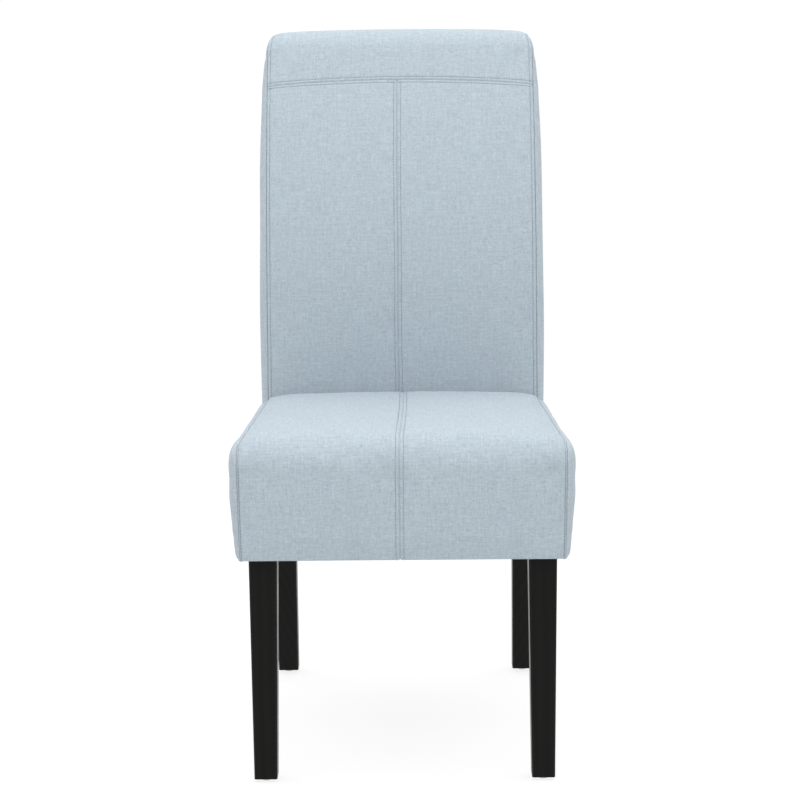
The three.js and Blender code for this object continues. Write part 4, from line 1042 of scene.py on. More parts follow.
# %% The linen group
def linen_weave():
    inputs = [("Place", "NodeSocketVector", None), ("Threads per metre", "NodeSocketFloat", 1500.0),
              ("Light yarn", "NodeSocketColor", (0.5, 0.55, 0.6, 1)),
              ("Dark yarn", "NodeSocketColor", (0.3, 0.34, 0.4, 1)),
              ("Fleck color", "NodeSocketColor", (0.44, 0.42, 0.52, 1)),
              ("Slub contrast", "NodeSocketFloat", 1.0)]
    outputs = [("Color", "NodeSocketColor"), ("Roughness", "NodeSocketFloat"), ("Height", "NodeSocketFloat")]
    tree, given, result = shader_group("linen_weave", inputs, outputs)
    place = given["Place"]
    threads = crossed_threads(tree, place, given["Threads per metre"], 0.2)
    slub_warp, fine = drawn_out_noise(tree, place, 1500.0, 130.0, 3.0, 0.65)
    thick = drawn_out_noise(tree, place, 420.0, 30.0, 2.0)[1]
    slubs = calc(tree, "ADD", calc(tree, "MULTIPLY", fine, 0.75), calc(tree, "MULTIPLY", thick, 0.25))
    uneven = calc(tree, "MULTIPLY", calc(tree, "SUBTRACT", slubs, 1.0), given["Slub contrast"])
    shade = calc(tree, "ADD", calc(tree, "MULTIPLY", uneven, 2.4),
                 calc(tree, "MULTIPLY_ADD", threads, 0.3, 0.3), clamp=True)
    color = blend(tree, shade, given["Dark yarn"], given["Light yarn"])
    # Flecks of another fibre sit on the warp's thick places, and broad clouds tint the whole cloth a little.
    color = blend(tree, ramp(tree, slub_warp, 0.56, 0.7, 0.0, 0.3), color, given["Fleck color"])
    cloudy = ramp(tree, noise(tree, place, 14.0, 2.0), 0.3, 0.7, 0.0, 0.08)
    color = blend(tree, cloudy, color, given["Fleck color"])
    tree.links.new(color, result["Color"])
    tree.links.new(ramp(tree, threads, 0.0, 1.0, 0.97, 0.82), result["Roughness"])
    height = calc(tree, "ADD", calc(tree, "MULTIPLY", threads, 0.4), calc(tree, "MULTIPLY", fine, 0.6))
    tree.links.new(height, result["Height"])
    return tree


weave = linen_weave()
print(weave.name, "has", len(weave.nodes), "nodes")

# %% [markdown]
# ## Strapping, timber and wear
#
# Webbing is a coarse open weave with some fuzz on it. Timber is a set of rings cut lengthwise, with
# pores drawn out along the grain. Wear is found by the surface itself: where its normal turns quickly
# there is an edge, and hands rub edges first. Each could be painted by hand, but these follow any shape.

# %% The weave of the strapping
def open_weave():
    inputs = [("Place", "NodeSocketVector", None), ("Threads per metre", "NodeSocketFloat", 400.0),
              ("Light yarn", "NodeSocketColor", (0.4, 0.34, 0.26, 1)),
              ("Dark yarn", "NodeSocketColor", (0.2, 0.16, 0.11, 1))]
    outputs = [("Color", "NodeSocketColor"), ("Height", "NodeSocketFloat")]
    tree, given, result = shader_group("open_weave", inputs, outputs)
    threads = crossed_threads(tree, given["Place"], given["Threads per metre"], 0.15)
    fuzz = noise(tree, given["Place"], 900.0, 3.0)
    height = calc(tree, "ADD", threads, calc(tree, "MULTIPLY", fuzz, 0.35))
    shade = calc(tree, "MULTIPLY_ADD", threads, 0.8, calc(tree, "MULTIPLY_ADD", fuzz, 0.6, -0.3), clamp=True)
    tree.links.new(blend(tree, shade, given["Dark yarn"], given["Light yarn"]), result["Color"])
    tree.links.new(height, result["Height"])
    return tree


strapping = open_weave()
print(strapping.name, "has", len(strapping.nodes), "nodes")

# %% The grain of timber
def wood_grain():
    inputs = [("Place", "NodeSocketVector", None),
              ("Grain direction", "NodeSocketVector", (6.0, 60.0, 60.0)),
              ("Early wood", "NodeSocketColor", (0.6, 0.42, 0.24, 1)),
              ("Late wood", "NodeSocketColor", (0.4, 0.25, 0.12, 1))]
    outputs = [("Color", "NodeSocketColor"), ("Grain", "NodeSocketFloat"), ("Height", "NodeSocketFloat")]
    tree, given, result = shader_group("wood_grain", inputs, outputs)
    stretched = stretch(tree, given["Place"], given["Grain direction"])
    rings = tree.nodes.new("ShaderNodeTexWave")
    rings.wave_type, rings.rings_direction = "RINGS", "SPHERICAL"
    for name, value in (("Scale", 0.55), ("Distortion", 5.0), ("Detail", 3.0), ("Detail Scale", 0.8)):
        rings.inputs[name].default_value = value
    tree.links.new(stretched, rings.inputs["Vector"])
    pores = noise(tree, stretch(tree, stretched, (1.0, 12.0, 12.0)), 1.0, 4.0, 0.6)
    figure = calc(tree, "ADD", calc(tree, "MULTIPLY", rings.outputs["Fac"], 0.6),
                  calc(tree, "MULTIPLY", pores, 0.5), clamp=True)
    tree.links.new(blend(tree, figure, given["Late wood"], given["Early wood"]), result["Color"])
    tree.links.new(figure, result["Grain"])
    height = calc(tree, "MULTIPLY_ADD", pores, 0.7, calc(tree, "MULTIPLY", figure, 0.3))
    tree.links.new(height, result["Height"])
    return tree


grain = wood_grain()
print(grain.name, "has", len(grain.nodes), "nodes")

# %% Rubbed edges, scratches and smudges
def handled_wear():
    inputs = [("Place", "NodeSocketVector", None), ("Edge radius", "NodeSocketFloat", 0.0015),
              ("Scratch size", "NodeSocketFloat", 55.0)]
    outputs = [(name, "NodeSocketFloat") for name in ("Edges", "Scratches", "Smudges")]
    tree, given, result = shader_group("handled_wear", inputs, outputs)
    bevel, shape = tree.nodes.new("ShaderNodeBevel"), tree.nodes.new("ShaderNodeNewGeometry")
    bevel.samples = 4
    tree.links.new(given["Edge radius"], bevel.inputs["Radius"])
    facing = tree.nodes.new("ShaderNodeVectorMath")
    facing.operation = "DOT_PRODUCT"
    tree.links.new(bevel.outputs["Normal"], facing.inputs[0])
    tree.links.new(shape.outputs["Normal"], facing.inputs[1])
    rubbed = noise(tree, given["Place"], 70.0, 3.0)
    edge = ramp(tree, facing.outputs["Value"], 0.995, 0.9)
    tree.links.new(calc(tree, "MULTIPLY", edge, ramp(tree, rubbed, 0.35, 0.65, 0.35, 1.0)), result["Edges"])
    hair = noise(tree, stretch(tree, given["Place"], (12.0, 12.0, 1.0)), given["Scratch size"], 2.0)
    tree.links.new(ramp(tree, hair, 0.68, 0.74), result["Scratches"])
    tree.links.new(ramp(tree, noise(tree, given["Place"], 9.0, 3.0), 0.35, 0.7), result["Smudges"])
    return tree


wear = handled_wear()
print(wear.name, "has", len(wear.nodes), "nodes")

# %% [markdown]
# ## Materials
#
# Each material reads either the cloth's own flat measure or the object's own coordinates, so a copy of
# the chair looks the same wherever it stands. Colors are given as light, from 0 to 1, and not as screen
# values, so that the shader can add and mix them as real light does.

# %% Tools for materials
def new_material(name):
    material = bpy.data.materials.new(name)
    material.use_nodes = True
    tree = material.node_tree
    return material, tree, tree.nodes["Principled BSDF"].inputs


def object_place(tree):
    return tree.nodes.new("ShaderNodeTexCoord").outputs["Object"]


def cloth_place(tree):
    node = tree.nodes.new("ShaderNodeUVMap")
    node.uv_map = "cloth"
    return node.outputs["UV"]


def use_group(tree, group, values):
    node = tree.nodes.new("ShaderNodeGroup")
    node.node_tree = group
    for name, value in values.items():
        set_value(tree, node.inputs[name], value)
    return node.outputs


# %% [markdown]
# ## Linen and sewing thread
#
# The cover is a pale blue linen: two yarns, one lighter and one darker, with flecks of a third color. It
# hardly shines, so its gloss is low and a faint sheen stands for the fibre ends. The thread is a darker
# grey blue, and twisted, so bands run round it aslant.

# %% Cloth and thread
linen_light, linen_dark = (0.492, 0.581, 0.625, 1), (0.296, 0.349, 0.399, 1)
linen_fleck = (0.4, 0.385, 0.46, 1)
thread_dark, thread_light = (0.15, 0.155, 0.2, 1), (0.29, 0.3, 0.37, 1)


def upholstery_linen():
    material, tree, shader = new_material("upholstery_linen")
    cloth = use_group(tree, weave, {"Place": cloth_place(tree), "Threads per metre": 1500.0,
                                    "Slub contrast": 1.0, "Light yarn": linen_light,
                                    "Dark yarn": linen_dark, "Fleck color": linen_fleck})
    tree.links.new(cloth["Color"], shader["Base Color"])
    tree.links.new(cloth["Roughness"], shader["Roughness"])
    tree.links.new(bump(tree, cloth["Height"], 0.0003, 0.6), shader["Normal"])
    shader["Specular IOR Level"].default_value = 0.2
    shader["Sheen Weight"].default_value = 0.12
    shader["Sheen Roughness"].default_value = 0.5
    return material


def twisted_thread():
    material, tree, shader = new_material("sewing_thread")
    place = object_place(tree)
    twist = tree.nodes.new("ShaderNodeTexWave")
    twist.bands_direction = "DIAGONAL"
    twist.inputs["Scale"].default_value = 900.0
    tree.links.new(place, twist.inputs["Vector"])
    fluff = noise(tree, place, 1400.0, 2.0)
    shade = calc(tree, "MULTIPLY_ADD", twist.outputs["Fac"], 0.6, calc(tree, "MULTIPLY", fluff, 0.4))
    tree.links.new(blend(tree, shade, thread_dark, thread_light), shader["Base Color"])
    tree.links.new(ramp(tree, fluff, 0.3, 0.7, 0.55, 0.8), shader["Roughness"])
    tree.links.new(bump(tree, twist.outputs["Fac"], 0.0002, 0.5), shader["Normal"])
    return material


linen, thread = upholstery_linen(), twisted_thread()
print("materials", linen.name, "and", thread.name)

# %% [markdown]
# ## Foam, wadding, webbing and pressed cloth
#
# These are hidden in the whole chair and show when it is taken apart. Foam is a mass of cut bubbles, so
# its pattern is a Voronoi one. Wadding is loose fibre, drawn by noise. Pressed cloth is fibre bonded by a
# grid of dots: black and thin below the seat, thick and brown as the stiff board behind the back.

# %% Foam and wadding
foam_shadow, foam_skin, foam_cloud = (0.45, 0.37, 0.2, 1), (0.8, 0.72, 0.5, 1), (0.7, 0.6, 0.36, 1)
wadding_shadow, wadding_light = (0.62, 0.61, 0.58, 1), (0.86, 0.86, 0.84, 1)


def open_cell_foam():
    material, tree, shader = new_material("open_cell_foam")
    place = object_place(tree)
    cells = tree.nodes.new("ShaderNodeTexVoronoi")
    cells.inputs["Scale"].default_value = 700.0
    tree.links.new(place, cells.inputs["Vector"])
    skin = ramp(tree, cells.outputs["Distance"], 0.1, 0.6)
    cloudy = noise(tree, place, 25.0, 3.0)
    color = blend(tree, skin, foam_shadow, foam_skin)
    color = blend(tree, ramp(tree, cloudy, 0.4, 0.7, 0.0, 0.3), color, foam_cloud)
    tree.links.new(color, shader["Base Color"])
    tree.links.new(ramp(tree, skin, 0.0, 1.0, 1.0, 0.85), shader["Roughness"])
    tree.links.new(bump(tree, skin, 0.0008, 0.7), shader["Normal"])
    return material


def fibre_wadding():
    material, tree, shader = new_material("fibre_wadding")
    place = object_place(tree)
    fibres = noise(tree, stretch(tree, place, (1.0, 3.0, 1.0)), 320.0, 5.0, 0.7)
    tufts = noise(tree, place, 45.0, 3.0)
    both = calc(tree, "MULTIPLY_ADD", fibres, 0.6, calc(tree, "MULTIPLY", tufts, 0.4))
    tree.links.new(blend(tree, ramp(tree, both, 0.3, 0.7), wadding_shadow, wadding_light),
                   shader["Base Color"])
    tree.links.new(ramp(tree, fibres, 0.3, 0.7, 1.0, 0.85), shader["Roughness"])
    tree.links.new(bump(tree, both, 0.002, 0.6), shader["Normal"])
    return material


# %% Webbing and pressed cloth
def strap_webbing(name, turn):
    """Woven strap. The turn lays the weave along the strap: seat straps lie flat, back straps stand."""
    material, tree, shader = new_material(name)
    mapping = tree.nodes.new("ShaderNodeMapping")
    mapping.inputs["Rotation"].default_value = turn
    tree.links.new(object_place(tree), mapping.inputs["Vector"])
    cloth = use_group(tree, strapping, {"Place": mapping.outputs["Vector"]})
    tree.links.new(cloth["Color"], shader["Base Color"])
    tree.links.new(ramp(tree, cloth["Height"], 0.0, 1.2, 0.95, 0.7), shader["Roughness"])
    tree.links.new(bump(tree, cloth["Height"], 0.0006, 0.8), shader["Normal"])
    return material


def pressed_cloth(name, dark, light, size, dots):
    """Non-woven cloth: short fibres, bonded by a grid of small pressed dots."""
    material, tree, shader = new_material(name)
    place = object_place(tree)
    fibres = noise(tree, place, size, 5.0, 0.75)
    pressed = tree.nodes.new("ShaderNodeTexVoronoi")
    pressed.inputs["Randomness"].default_value = 0.0
    pressed.inputs["Scale"].default_value = dots
    tree.links.new(place, pressed.inputs["Vector"])
    dot = ramp(tree, pressed.outputs["Distance"], 0.2, 0.32, 1.0, 0.0)
    height = calc(tree, "SUBTRACT", fibres, calc(tree, "MULTIPLY", dot, 0.5))
    tree.links.new(blend(tree, ramp(tree, height, 0.1, 0.7), (*dark, 1), (*light, 1)), shader["Base Color"])
    tree.links.new(ramp(tree, dot, 0.0, 1.0, 0.9, 0.6), shader["Roughness"])
    tree.links.new(bump(tree, height, 0.0005, 0.7), shader["Normal"])
    return material


# %% [markdown]
# ## Timber, lacquer, steel and plastic
#
# The frame is plain light timber, and the legs are dark stained under a satin lacquer. The fixings and
# the staples are zinc plated, which shows as a pattern of small crystals, and the glides are grey plastic.
# Wear could be drawn by hand on each part. All four finishes use the wear group instead, and each takes
# from it what it shows: timber rubbed edges, steel edges and scratches, plastic scratches and smudges, and
# lacquer all three.

# %% Timber and lacquer
rubbed_timber = (0.72, 0.55, 0.36, 1)
early_lacquer, late_lacquer = (0.0072, 0.0066, 0.006, 1), (0.0038, 0.0038, 0.0038, 1)
rubbed_lacquer, scratched_lacquer = (0.03, 0.028, 0.026, 1), (0.03, 0.03, 0.03, 1)


def frame_timber(name, direction):
    material, tree, shader = new_material(name)
    place = object_place(tree)
    wood = use_group(tree, grain, {"Place": place, "Grain direction": direction})
    marks = use_group(tree, wear, {"Place": place, "Edge radius": 0.0012})
    color = blend(tree, calc(tree, "MULTIPLY", marks["Edges"], 0.35), wood["Color"], rubbed_timber)
    tree.links.new(color, shader["Base Color"])
    tree.links.new(ramp(tree, wood["Grain"], 0.0, 1.0, 0.85, 0.6), shader["Roughness"])
    tree.links.new(bump(tree, wood["Height"], 0.0004, 0.5), shader["Normal"])
    return material


def leg_lacquer():
    """Dark stained wood under a satin lacquer. The grain only just shows, and the edges are rubbed."""
    material, tree, shader = new_material("black_lacquer")
    place = object_place(tree)
    wood = use_group(tree, grain, {"Place": place, "Grain direction": (70.0, 70.0, 5.0),
                                   "Early wood": early_lacquer, "Late wood": late_lacquer})
    marks = use_group(tree, wear, {"Place": place, "Edge radius": 0.002})
    color = blend(tree, calc(tree, "MULTIPLY", marks["Edges"], 0.5), wood["Color"], rubbed_lacquer)
    color = blend(tree, calc(tree, "MULTIPLY", marks["Scratches"], 0.15), color, scratched_lacquer)
    tree.links.new(color, shader["Base Color"])
    rough = calc(tree, "ADD", ramp(tree, marks["Smudges"], 0.0, 1.0, 0.26, 0.36),
                 calc(tree, "MULTIPLY", wood["Grain"], 0.06))
    tree.links.new(rough, shader["Roughness"])
    height = calc(tree, "SUBTRACT", wood["Height"], calc(tree, "MULTIPLY", marks["Scratches"], 0.3))
    tree.links.new(bump(tree, height, 0.00015, 0.35), shader["Normal"])
    shader["Specular IOR Level"].default_value = 0.11
    return material


# %% Steel and plastic
steel_dark, steel_light, steel_rubbed = (0.42, 0.43, 0.45, 1), (0.62, 0.63, 0.64, 1), (0.8, 0.8, 0.8, 1)
plastic_dark, plastic_light = (0.42, 0.42, 0.41, 1), (0.58, 0.58, 0.57, 1)
plastic_scratch = (0.3, 0.3, 0.29, 1)


def zinc_steel():
    material, tree, shader = new_material("zinc_steel")
    place = object_place(tree)
    crystals = tree.nodes.new("ShaderNodeTexVoronoi")
    crystals.inputs["Scale"].default_value = 260.0
    tree.links.new(place, crystals.inputs["Vector"])
    marks = use_group(tree, wear, {"Place": place, "Edge radius": 0.0005, "Scratch size": 200.0})
    tone = ramp(tree, crystals.outputs["Distance"], 0.0, 0.8)
    color = blend(tree, tone, steel_dark, steel_light)
    color = blend(tree, calc(tree, "MULTIPLY", marks["Edges"], 0.5), color, steel_rubbed)
    tree.links.new(color, shader["Base Color"])
    shader["Metallic"].default_value = 1.0
    rough = calc(tree, "ADD", ramp(tree, tone, 0.0, 1.0, 0.28, 0.42),
                 calc(tree, "MULTIPLY", marks["Scratches"], 0.15))
    tree.links.new(rough, shader["Roughness"])
    tree.links.new(bump(tree, tone, 0.0001, 0.3), shader["Normal"])
    return material


def glide_plastic():
    material, tree, shader = new_material("glide_plastic")
    place = object_place(tree)
    marks = use_group(tree, wear, {"Place": place, "Scratch size": 160.0})
    specks = noise(tree, place, 500.0, 3.0)
    color = blend(tree, specks, plastic_dark, plastic_light)
    color = blend(tree, calc(tree, "MULTIPLY", marks["Scratches"], 0.5), color, plastic_scratch)
    tree.links.new(color, shader["Base Color"])
    tree.links.new(ramp(tree, marks["Smudges"], 0.0, 1.0, 0.4, 0.55), shader["Roughness"])
    tree.links.new(bump(tree, specks, 0.0001, 0.4), shader["Normal"])
    return material


# %% [markdown]
# ## Give everything its finish
#
# The record names a slot for each solid, and each slot gets one material. Timber and webbing come in
# more than one direction: the pattern reads the object's coordinates, so a post needs its grain upright
# and a side rail needs it lengthwise. Turning the objects instead would move them out of their places.

# %% Finishes by slot
finishes = {
    "fabric": linen,
    "foam": open_cell_foam(),
    "wadding": fibre_wadding(),
    "frame_wood": frame_timber("frame_timber_across", (6.0, 60.0, 60.0)),
    "webbing": strap_webbing("seat_webbing", (0, 0, 0)),
    "liner": pressed_cloth("fibre_board", (0.2, 0.15, 0.09), (0.42, 0.33, 0.22), 260.0, 30.0),
    "dust_cover": pressed_cloth("dust_cloth", (0.006, 0.006, 0.0065), (0.028, 0.028, 0.03), 900.0, 420.0),
    "leg_wood": leg_lacquer(),
    "steel": zinc_steel(),
    "glide": glide_plastic(),
}
standing_timber = frame_timber("frame_timber_standing", (60.0, 60.0, 6.0))
lengthwise_timber = frame_timber("frame_timber_lengthwise", (60.0, 6.0, 60.0))
back_strap = strap_webbing("back_webbing", (math.pi / 2, 0, 0))
own_finish = {"back_post_left": standing_timber, "back_post_right": standing_timber,
              "seat_side_rail_left": lengthwise_timber, "seat_side_rail_right": lengthwise_timber,
              "back_webbing_1": back_strap, "back_webbing_2": back_strap, "back_webbing_3": back_strap}
slot_of = {part["node"]: part["material_slot"] for part in frame["record"]["subparts"]}
for name, node in nodes.items():
    node.data.materials.clear()
    node.data.materials.append(own_finish.get(name, finishes[slot_of[name]]))
for panel in panels.values():
    panel["piece"].data.materials.append(finishes["fabric"])
for piece, slot in padding.values():
    piece.data.materials.append(finishes[slot])
print(len(finishes), "finishes on", len(nodes), "solids,", len(panels), "panels,", len(padding), "paddings")

# %% [markdown]
# ## Stitches
#
# A topstitch is a short length of thread that lies on the cloth and dives in at both ends. There are
# well over a thousand of them, and nobody would place them one by one. A Geometry Nodes tree follows a
# line on the cloth, sets one small stitch at every pitch, and turns it along the line. Its sizes are
# inputs, so the same tree sews every seam.

# %% The stitching tree
stitch_sides, stitch_rings = 6, 5


def stitching_tree():
    tree = bpy.data.node_groups.new("topstitching", "GeometryNodeTree")
    face = tree.interface
    face.new_socket(name="Seam lines", in_out="INPUT", socket_type="NodeSocketGeometry")
    for name, value in (("Stitch pitch", 0.004), ("Stitch length", 0.003), ("Thread radius", 0.0003)):
        socket = face.new_socket(name=name, in_out="INPUT", socket_type="NodeSocketFloat")
        socket.default_value = value
    face.new_socket(name="Thread", in_out="INPUT", socket_type="NodeSocketMaterial")
    face.new_socket(name="Stitches", in_out="OUTPUT", socket_type="NodeSocketGeometry")
    link, add = tree.links.new, tree.nodes.new
    start, end = add("NodeGroupInput"), add("NodeGroupOutput")
    # The seam line as a curve, with a point at every pitch.
    curve, steps = add("GeometryNodeMeshToCurve"), add("GeometryNodeResampleCurve")
    steps.mode = "LENGTH"
    link(start.outputs["Seam lines"], curve.inputs["Mesh"])
    link(curve.outputs["Curve"], steps.inputs["Curve"])
    link(start.outputs["Stitch pitch"], steps.inputs["Length"])
    # One stitch: a ball with a radius of 1, drawn out to the length of the stitch.
    stitch, shape = add("GeometryNodeMeshUVSphere"), add("GeometryNodeTransform")
    stitch.inputs["Segments"].default_value = stitch_sides
    stitch.inputs["Rings"].default_value = stitch_rings
    stitch.inputs["Radius"].default_value = 1.0
    size, half = add("ShaderNodeCombineXYZ"), add("ShaderNodeMath")
    half.operation = "MULTIPLY"
    half.inputs[1].default_value = 0.5
    link(start.outputs["Stitch length"], half.inputs[0])
    link(start.outputs["Thread radius"], size.inputs["X"])
    link(start.outputs["Thread radius"], size.inputs["Y"])
    link(half.outputs["Value"], size.inputs["Z"])
    link(stitch.outputs["Mesh"], shape.inputs["Geometry"])
    link(size.outputs["Vector"], shape.inputs["Scale"])
    # A stitch on each point, turned along the line.
    tangent, turn = add("GeometryNodeInputTangent"), add("FunctionNodeAlignRotationToVector")
    turn.axis = "Z"
    link(tangent.outputs["Tangent"], turn.inputs["Vector"])
    sewn = add("GeometryNodeInstanceOnPoints")
    link(steps.outputs["Curve"], sewn.inputs["Points"])
    link(shape.outputs["Geometry"], sewn.inputs["Instance"])
    link(turn.outputs["Rotation"], sewn.inputs["Rotation"])
    # The stitches as one mesh, of thread.
    real, dyed = add("GeometryNodeRealizeInstances"), add("GeometryNodeSetMaterial")
    link(sewn.outputs["Instances"], real.inputs["Geometry"])
    link(real.outputs["Geometry"], dyed.inputs["Geometry"])
    link(start.outputs["Thread"], dyed.inputs["Material"])
    link(dyed.outputs["Geometry"], end.inputs["Stitches"])
    return tree


def set_inputs(modifier, values):
    """Sets a Geometry Nodes modifier's inputs, found by name and set by identifier."""
    for item in modifier.node_group.interface.items_tree:
        if item.item_type == "SOCKET" and item.in_out == "INPUT" and item.name in values:
            modifier[item.identifier] = values[item.name]


topstitching = stitching_tree()
print(topstitching.name, "has", len(topstitching.nodes), "nodes")

# %% Lines for the stitches
thread_lift = 0.12


def line_at(node, distance, wanted):
    """The line on a panel at a distance from its seam. The distance is given for each column or row."""
    panel = panels[node]
    grid = panel["grid"] + normals_of(panel["grid"], panel["outward"]) * thread_lift
    distance = np.asarray(distance)
    order = np.argsort(distance)
    if len(distance) == grid.shape[0]:
        grid = grid.transpose(1, 0, 2)
    return np.array([[np.interp(wanted, distance[order], row[order, axis]) for axis in range(3)]
                     for row in grid])


def lines_object(name, lines):
    points, edges = [], []
    for line in lines:
        first = len(points)
        points += frame_points(line).tolist()
        edges += [(first + step, first + step + 1) for step in range(len(line) - 1)]
    mesh = bpy.data.meshes.new(name)
    mesh.from_pydata(points, edges, [])
    return placed(name, mesh)


def sewn_along(name, lines, pitch, length, radius, material):
    """A piece made of stitches that follow the lines, with sizes in mm."""
    piece = lines_object(name, lines)
    sewing = piece.modifiers.new("topstitching", "NODES")
    sewing.node_group = topstitching
    set_inputs(sewing, {"Stitch pitch": pitch * MM, "Stitch length": length * MM,
                        "Thread radius": radius * MM, "Thread": material})
    made_plain(piece)
    print(name, "has", len(piece.data.polygons) // (stitch_sides * stitch_rings), "stitches")
    return piece


# %% Rows beside the seams
seat_lines, back_lines = [], []
below_cross_rows = np.searchsorted(cover_along, cross_seam - cross_rows_from_seam)
for side, sign, seat_across, back_across in (("left", -1, seat_columns[::-1], back_columns[::-1]),
                                             ("right", 1, seat_columns, back_columns)):
    cover = f"seat_cover_{side}"
    seat_rows = ((seat_across, seat_rows_from_seam), (1 - seat_across, seat_edge_rows_from_seam))
    for across, row_place in seat_rows:
        seat_lines.append(line_at(cover, across * seat_front_half, row_place)[len(hem_steps):])
    cover = f"back_cover_{side}"
    back_lines.append(line_at(cover, back_across * back_half, back_rows_from_seam)[:below_cross_rows])
    back_lines.append(line_at(cover, (1 - back_across) * back_half, back_edge_rows_from_seam))
    back_lines.append(line_at(cover, cross_seam - np.array(cover_along), cross_rows_from_seam))
    edge = (1 - whole_columns * sign) * back_half
    back_lines.append(line_at("back_top_band", edge, back_edge_rows_from_seam))
back_lines.append(line_at("back_top_band", np.array(band_along) - cross_seam, cross_rows_from_seam))
print(len(seat_lines), "rows on the seat and", len(back_lines), "on the back")

# %% Sew the topstitching
stitch_pitch, stitch_length, thread_radius = 4.2, 3.4, 0.42
for name, lines in (("seat_topstitching", seat_lines), ("back_topstitching", back_lines)):
    piece = sewn_along(name, lines, stitch_pitch, stitch_length, thread_radius, thread)
    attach(piece, "root")

# %% [markdown]
# ## Below the seat
#
# A thin black cloth closes the underside. It keeps dust off the floor and hides the frame, and it is held
# by staples a few centimetres apart. They could be bent from wire with both their legs, but only the crown
# shows. So the stitching tree sets them too: a staple is a longer stitch, of wire. A ring of places runs
# round the cloth's edge, and is cut where a leg is in the way.

# %% Where the staples go
staple_inset, staple_pitch, staple_crown, staple_wire, staple_drop = 7.0, 34.0, 10.0, 0.55, 0.3
leg_clearance, underside_depth, ring_share, places_per_side = 6.0, 0.2, 0.93, 60


def outline_of(piece):
    """The outer ring of a flat piece's underside, in order, in mm."""
    points = np.array([tuple(vertex.co) for vertex in piece.data.vertices]) / MM - (0, frame_shift, 0)
    low = points[points[:, 2] < points[:, 2].min() + underside_depth]
    centre = (low[:, :2].max(axis=0) + low[:, :2].min(axis=0)) / 2
    away = low[:, :2] - centre
    angles = np.arctan2(away[:, 1], away[:, 0])
    outer = np.abs(away / np.abs(away).max(axis=0)).max(axis=1) > ring_share
    return low[outer][np.argsort(angles[outer])]


def staple_lines(ring):
    """The ring drawn in from the edge, cut where a leg stands against the cloth."""
    centre = (ring.max(axis=0) + ring.min(axis=0)) / 2
    reach = np.abs(ring - centre).max(axis=0)[:2]
    ring = ring.copy()
    ring[:, :2] = centre[:2] + (ring[:, :2] - centre[:2]) * (1 - staple_inset / reach)
    ring = np.vstack([ring, ring[:1]])
    steps = [start + (end - start) * share for start, end in zip(ring[:-1], ring[1:])
             for share in np.linspace(0, 1, places_per_side, endpoint=False)]
    boxes = [[np.array(corner)[:2] / MM - (0, frame_shift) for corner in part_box(f"{leg}_{side}")]
             for leg in ("front_leg", "rear_leg") for side in ("left", "right")]
    lines, line = [], []
    for point in steps:
        if any(np.all(low - leg_clearance < point[:2]) and np.all(point[:2] < high + leg_clearance)
               for low, high in boxes):
            lines.append(line)
            line = []
        else:
            line.append(point)
    lines.append(line)
    return [np.array(line) - (0, 0, staple_drop) for line in lines if len(line) > 1]


# %% Dust cover and staples
dust_cloth = plain_copy("dust_cover", "dust_cover_cloth")
cover_ring = outline_of(dust_cloth)
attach(dust_cloth, "root")
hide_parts("dust_cover")
dust_cloth.data.materials.append(finishes["dust_cover"])

staples = sewn_along("dust_cover_staples", staple_lines(cover_ring), staple_pitch, staple_crown, staple_wire,
                     finishes["steel"])
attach(staples, "root")

# %% [markdown]
# ## Glides
#
# A glide is a nail with a domed plastic head. Half a ball would miss its flat foot and its nail. It is
# round all the way, so it is spun: one half profile, turned about its own axis. The head is soft plastic
# pressed in a mould, so its dome runs over into the flat foot without an edge.

# %% Spin the glides
dome_height, dome_radius, flat_radius, flat_middle_share = 4.5, 9.0, 5.0, 0.7
rim_drawn_in, dome_steps, glide_sides, sharp_from = 0.15, 8, 40, 50
nail_radius, nail_length, nail_point = 1.2, 13.0, 3.0


def glide_profile():
    """Half the outline as (radius, height), from the middle of the foot to the tip of the nail."""
    dome_width = dome_radius - flat_radius
    dome = [(flat_radius + dome_width * math.sin(angle), dome_height * (1 - math.cos(angle)))
            for angle in np.linspace(0, math.pi / 2, dome_steps + 1)]
    foot = [(0, 0), (flat_radius * flat_middle_share, 0)]
    collar = [(dome_radius - rim_drawn_in, dome_height), (nail_radius, dome_height)]
    nail_end = dome_height + nail_length
    return foot + dome + collar + [(nail_radius, nail_end - nail_point), (0, nail_end)]


def spun(name, profile, centre):
    """A profile turned round an upright axis through the centre, closed and with its faces outwards."""
    sides = glide_sides
    angles = np.linspace(0, 2 * math.pi, sides, endpoint=False)
    rings = np.array([[(radius * math.cos(angle), radius * math.sin(angle), height) for angle in angles]
                      for radius, height in profile])
    faces = [(row * sides + column, row * sides + (column + 1) % sides,
              (row + 1) * sides + (column + 1) % sides, (row + 1) * sides + column)
             for row in range(len(profile) - 1) for column in range(sides)]
    mesh = bpy.data.meshes.new(name)
    mesh.from_pydata((rings.reshape(-1, 3) * MM + np.array([*centre, 0])).tolist(), [], faces)
    work = bmesh.new()
    work.from_mesh(mesh)
    bmesh.ops.remove_doubles(work, verts=work.verts, dist=merge_distance)
    bmesh.ops.recalc_face_normals(work, faces=work.faces)
    work.to_mesh(mesh)
    work.free()
    mesh.polygons.foreach_set("use_smooth", [True] * len(mesh.polygons))
    mesh.set_sharp_from_angle(angle=math.radians(sharp_from))
    return placed(name, mesh)


# %% Four glides
for foot in ("front", "rear"):
    for side in ("left", "right"):
        node = f"{foot}_glide_{side}"
        low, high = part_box(node)
        glide = spun(f"{node}_spun", glide_profile(), ((low + high) / 2)[:2])
        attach(glide, "root")
        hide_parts(node)
        glide.data.materials.append(finishes["glide"])
        print(glide.name, len(glide.data.polygons), "faces")

# %% [markdown]
# ## Floor and light
#
# The photograph was taken on a white sweep, with soft light from all round and a little more from above.
# The floor is bright enough to run into the background without a line, and throws light back up under
# the seat. A plain white floor under lamps would do the same at the price of a grey shadow. This one
# glows by itself, so the shadow stays faint.

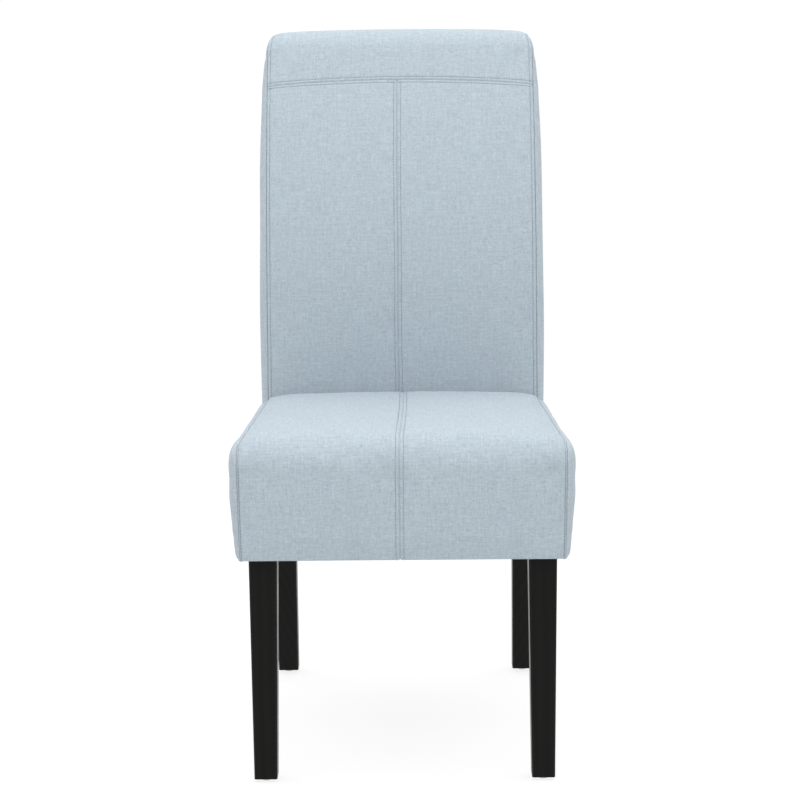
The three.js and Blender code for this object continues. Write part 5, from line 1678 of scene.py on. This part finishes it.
# %% Floor
floor_reach, floor_glow = 60.0, 0.825
paper_dark, paper_light = (0.18, 0.18, 0.18, 1), (0.22, 0.22, 0.22, 1)


def floor_paper():
    """Thin white paper over a light table: lit from below, it shows only the softest of shadows."""
    material, tree, shader = new_material("floor_paper")
    place = object_place(tree)
    fibres = noise(tree, place, 400.0, 3.0)
    tree.links.new(blend(tree, fibres, paper_dark, paper_light), shader["Base Color"])
    tree.links.new(ramp(tree, fibres, 0.3, 0.7, 0.9, 1.0), shader["Roughness"])
    tree.links.new(bump(tree, fibres, 0.0002, 0.2), shader["Normal"])
    shader["Emission Color"].default_value = (1, 1, 1, 1)
    shader["Emission Strength"].default_value = floor_glow
    shader["Specular IOR Level"].default_value = 0.0
    return material


def add_floor():
    mesh = bpy.data.meshes.new("floor")
    corners = [(floor_reach * x, floor_reach * y, 0) for x, y in ((-1, -1), (1, -1), (1, 1), (-1, 1))]
    mesh.from_pydata(corners, [], [(0, 1, 2, 3)])
    floor = placed("floor", mesh)
    mesh.materials.append(floor_paper())


add_floor()
print("a floor", 2 * floor_reach, "m wide")

# %% Lamps and world
wall_from, wall_to, wall_dark, wall_light = -0.5, 0.2, 0.64, 1.02


def add_softbox(name, place, aim, size, power):
    """A round lamp, wide enough for soft shadows. Places and size are in metres, the power in watts."""
    data = bpy.data.lights.new(name, "AREA")
    data.shape = "DISK"
    data.size = size
    data.energy = power
    lamp = placed(name, data)
    direction = Vector(aim) - Vector(place)
    lamp.location = place
    lamp.rotation_mode = "QUATERNION"
    lamp.rotation_quaternion = direction.to_track_quat("-Z", "Y")


def add_studio_walls():
    """A white world. It is a little darker on the camera's side, where the studio has no white paper."""
    world = bpy.data.worlds.new("white_studio")
    world.use_nodes = True
    tree = world.node_tree
    direction, parts = tree.nodes.new("ShaderNodeTexCoord"), tree.nodes.new("ShaderNodeSeparateXYZ")
    tree.links.new(direction.outputs["Generated"], parts.inputs[0])
    sky = tree.nodes["Background"].inputs
    sky["Color"].default_value = (1, 1, 1, 1)
    brightness = ramp(tree, parts.outputs["Y"], wall_from, wall_to, wall_dark, wall_light)
    tree.links.new(brightness, sky["Strength"])
    bpy.context.scene.world = world


add_softbox("overhead_softbox", place=(0, -0.3, 3.2), aim=(0, 0, 0.3), size=5.0, power=78)
add_softbox("front_softbox", place=(0, -1.7, 1.8), aim=(0, 0.1, 0.8), size=0.8, power=9)
add_studio_walls()
bpy.context.scene.view_settings.view_transform = "Standard"
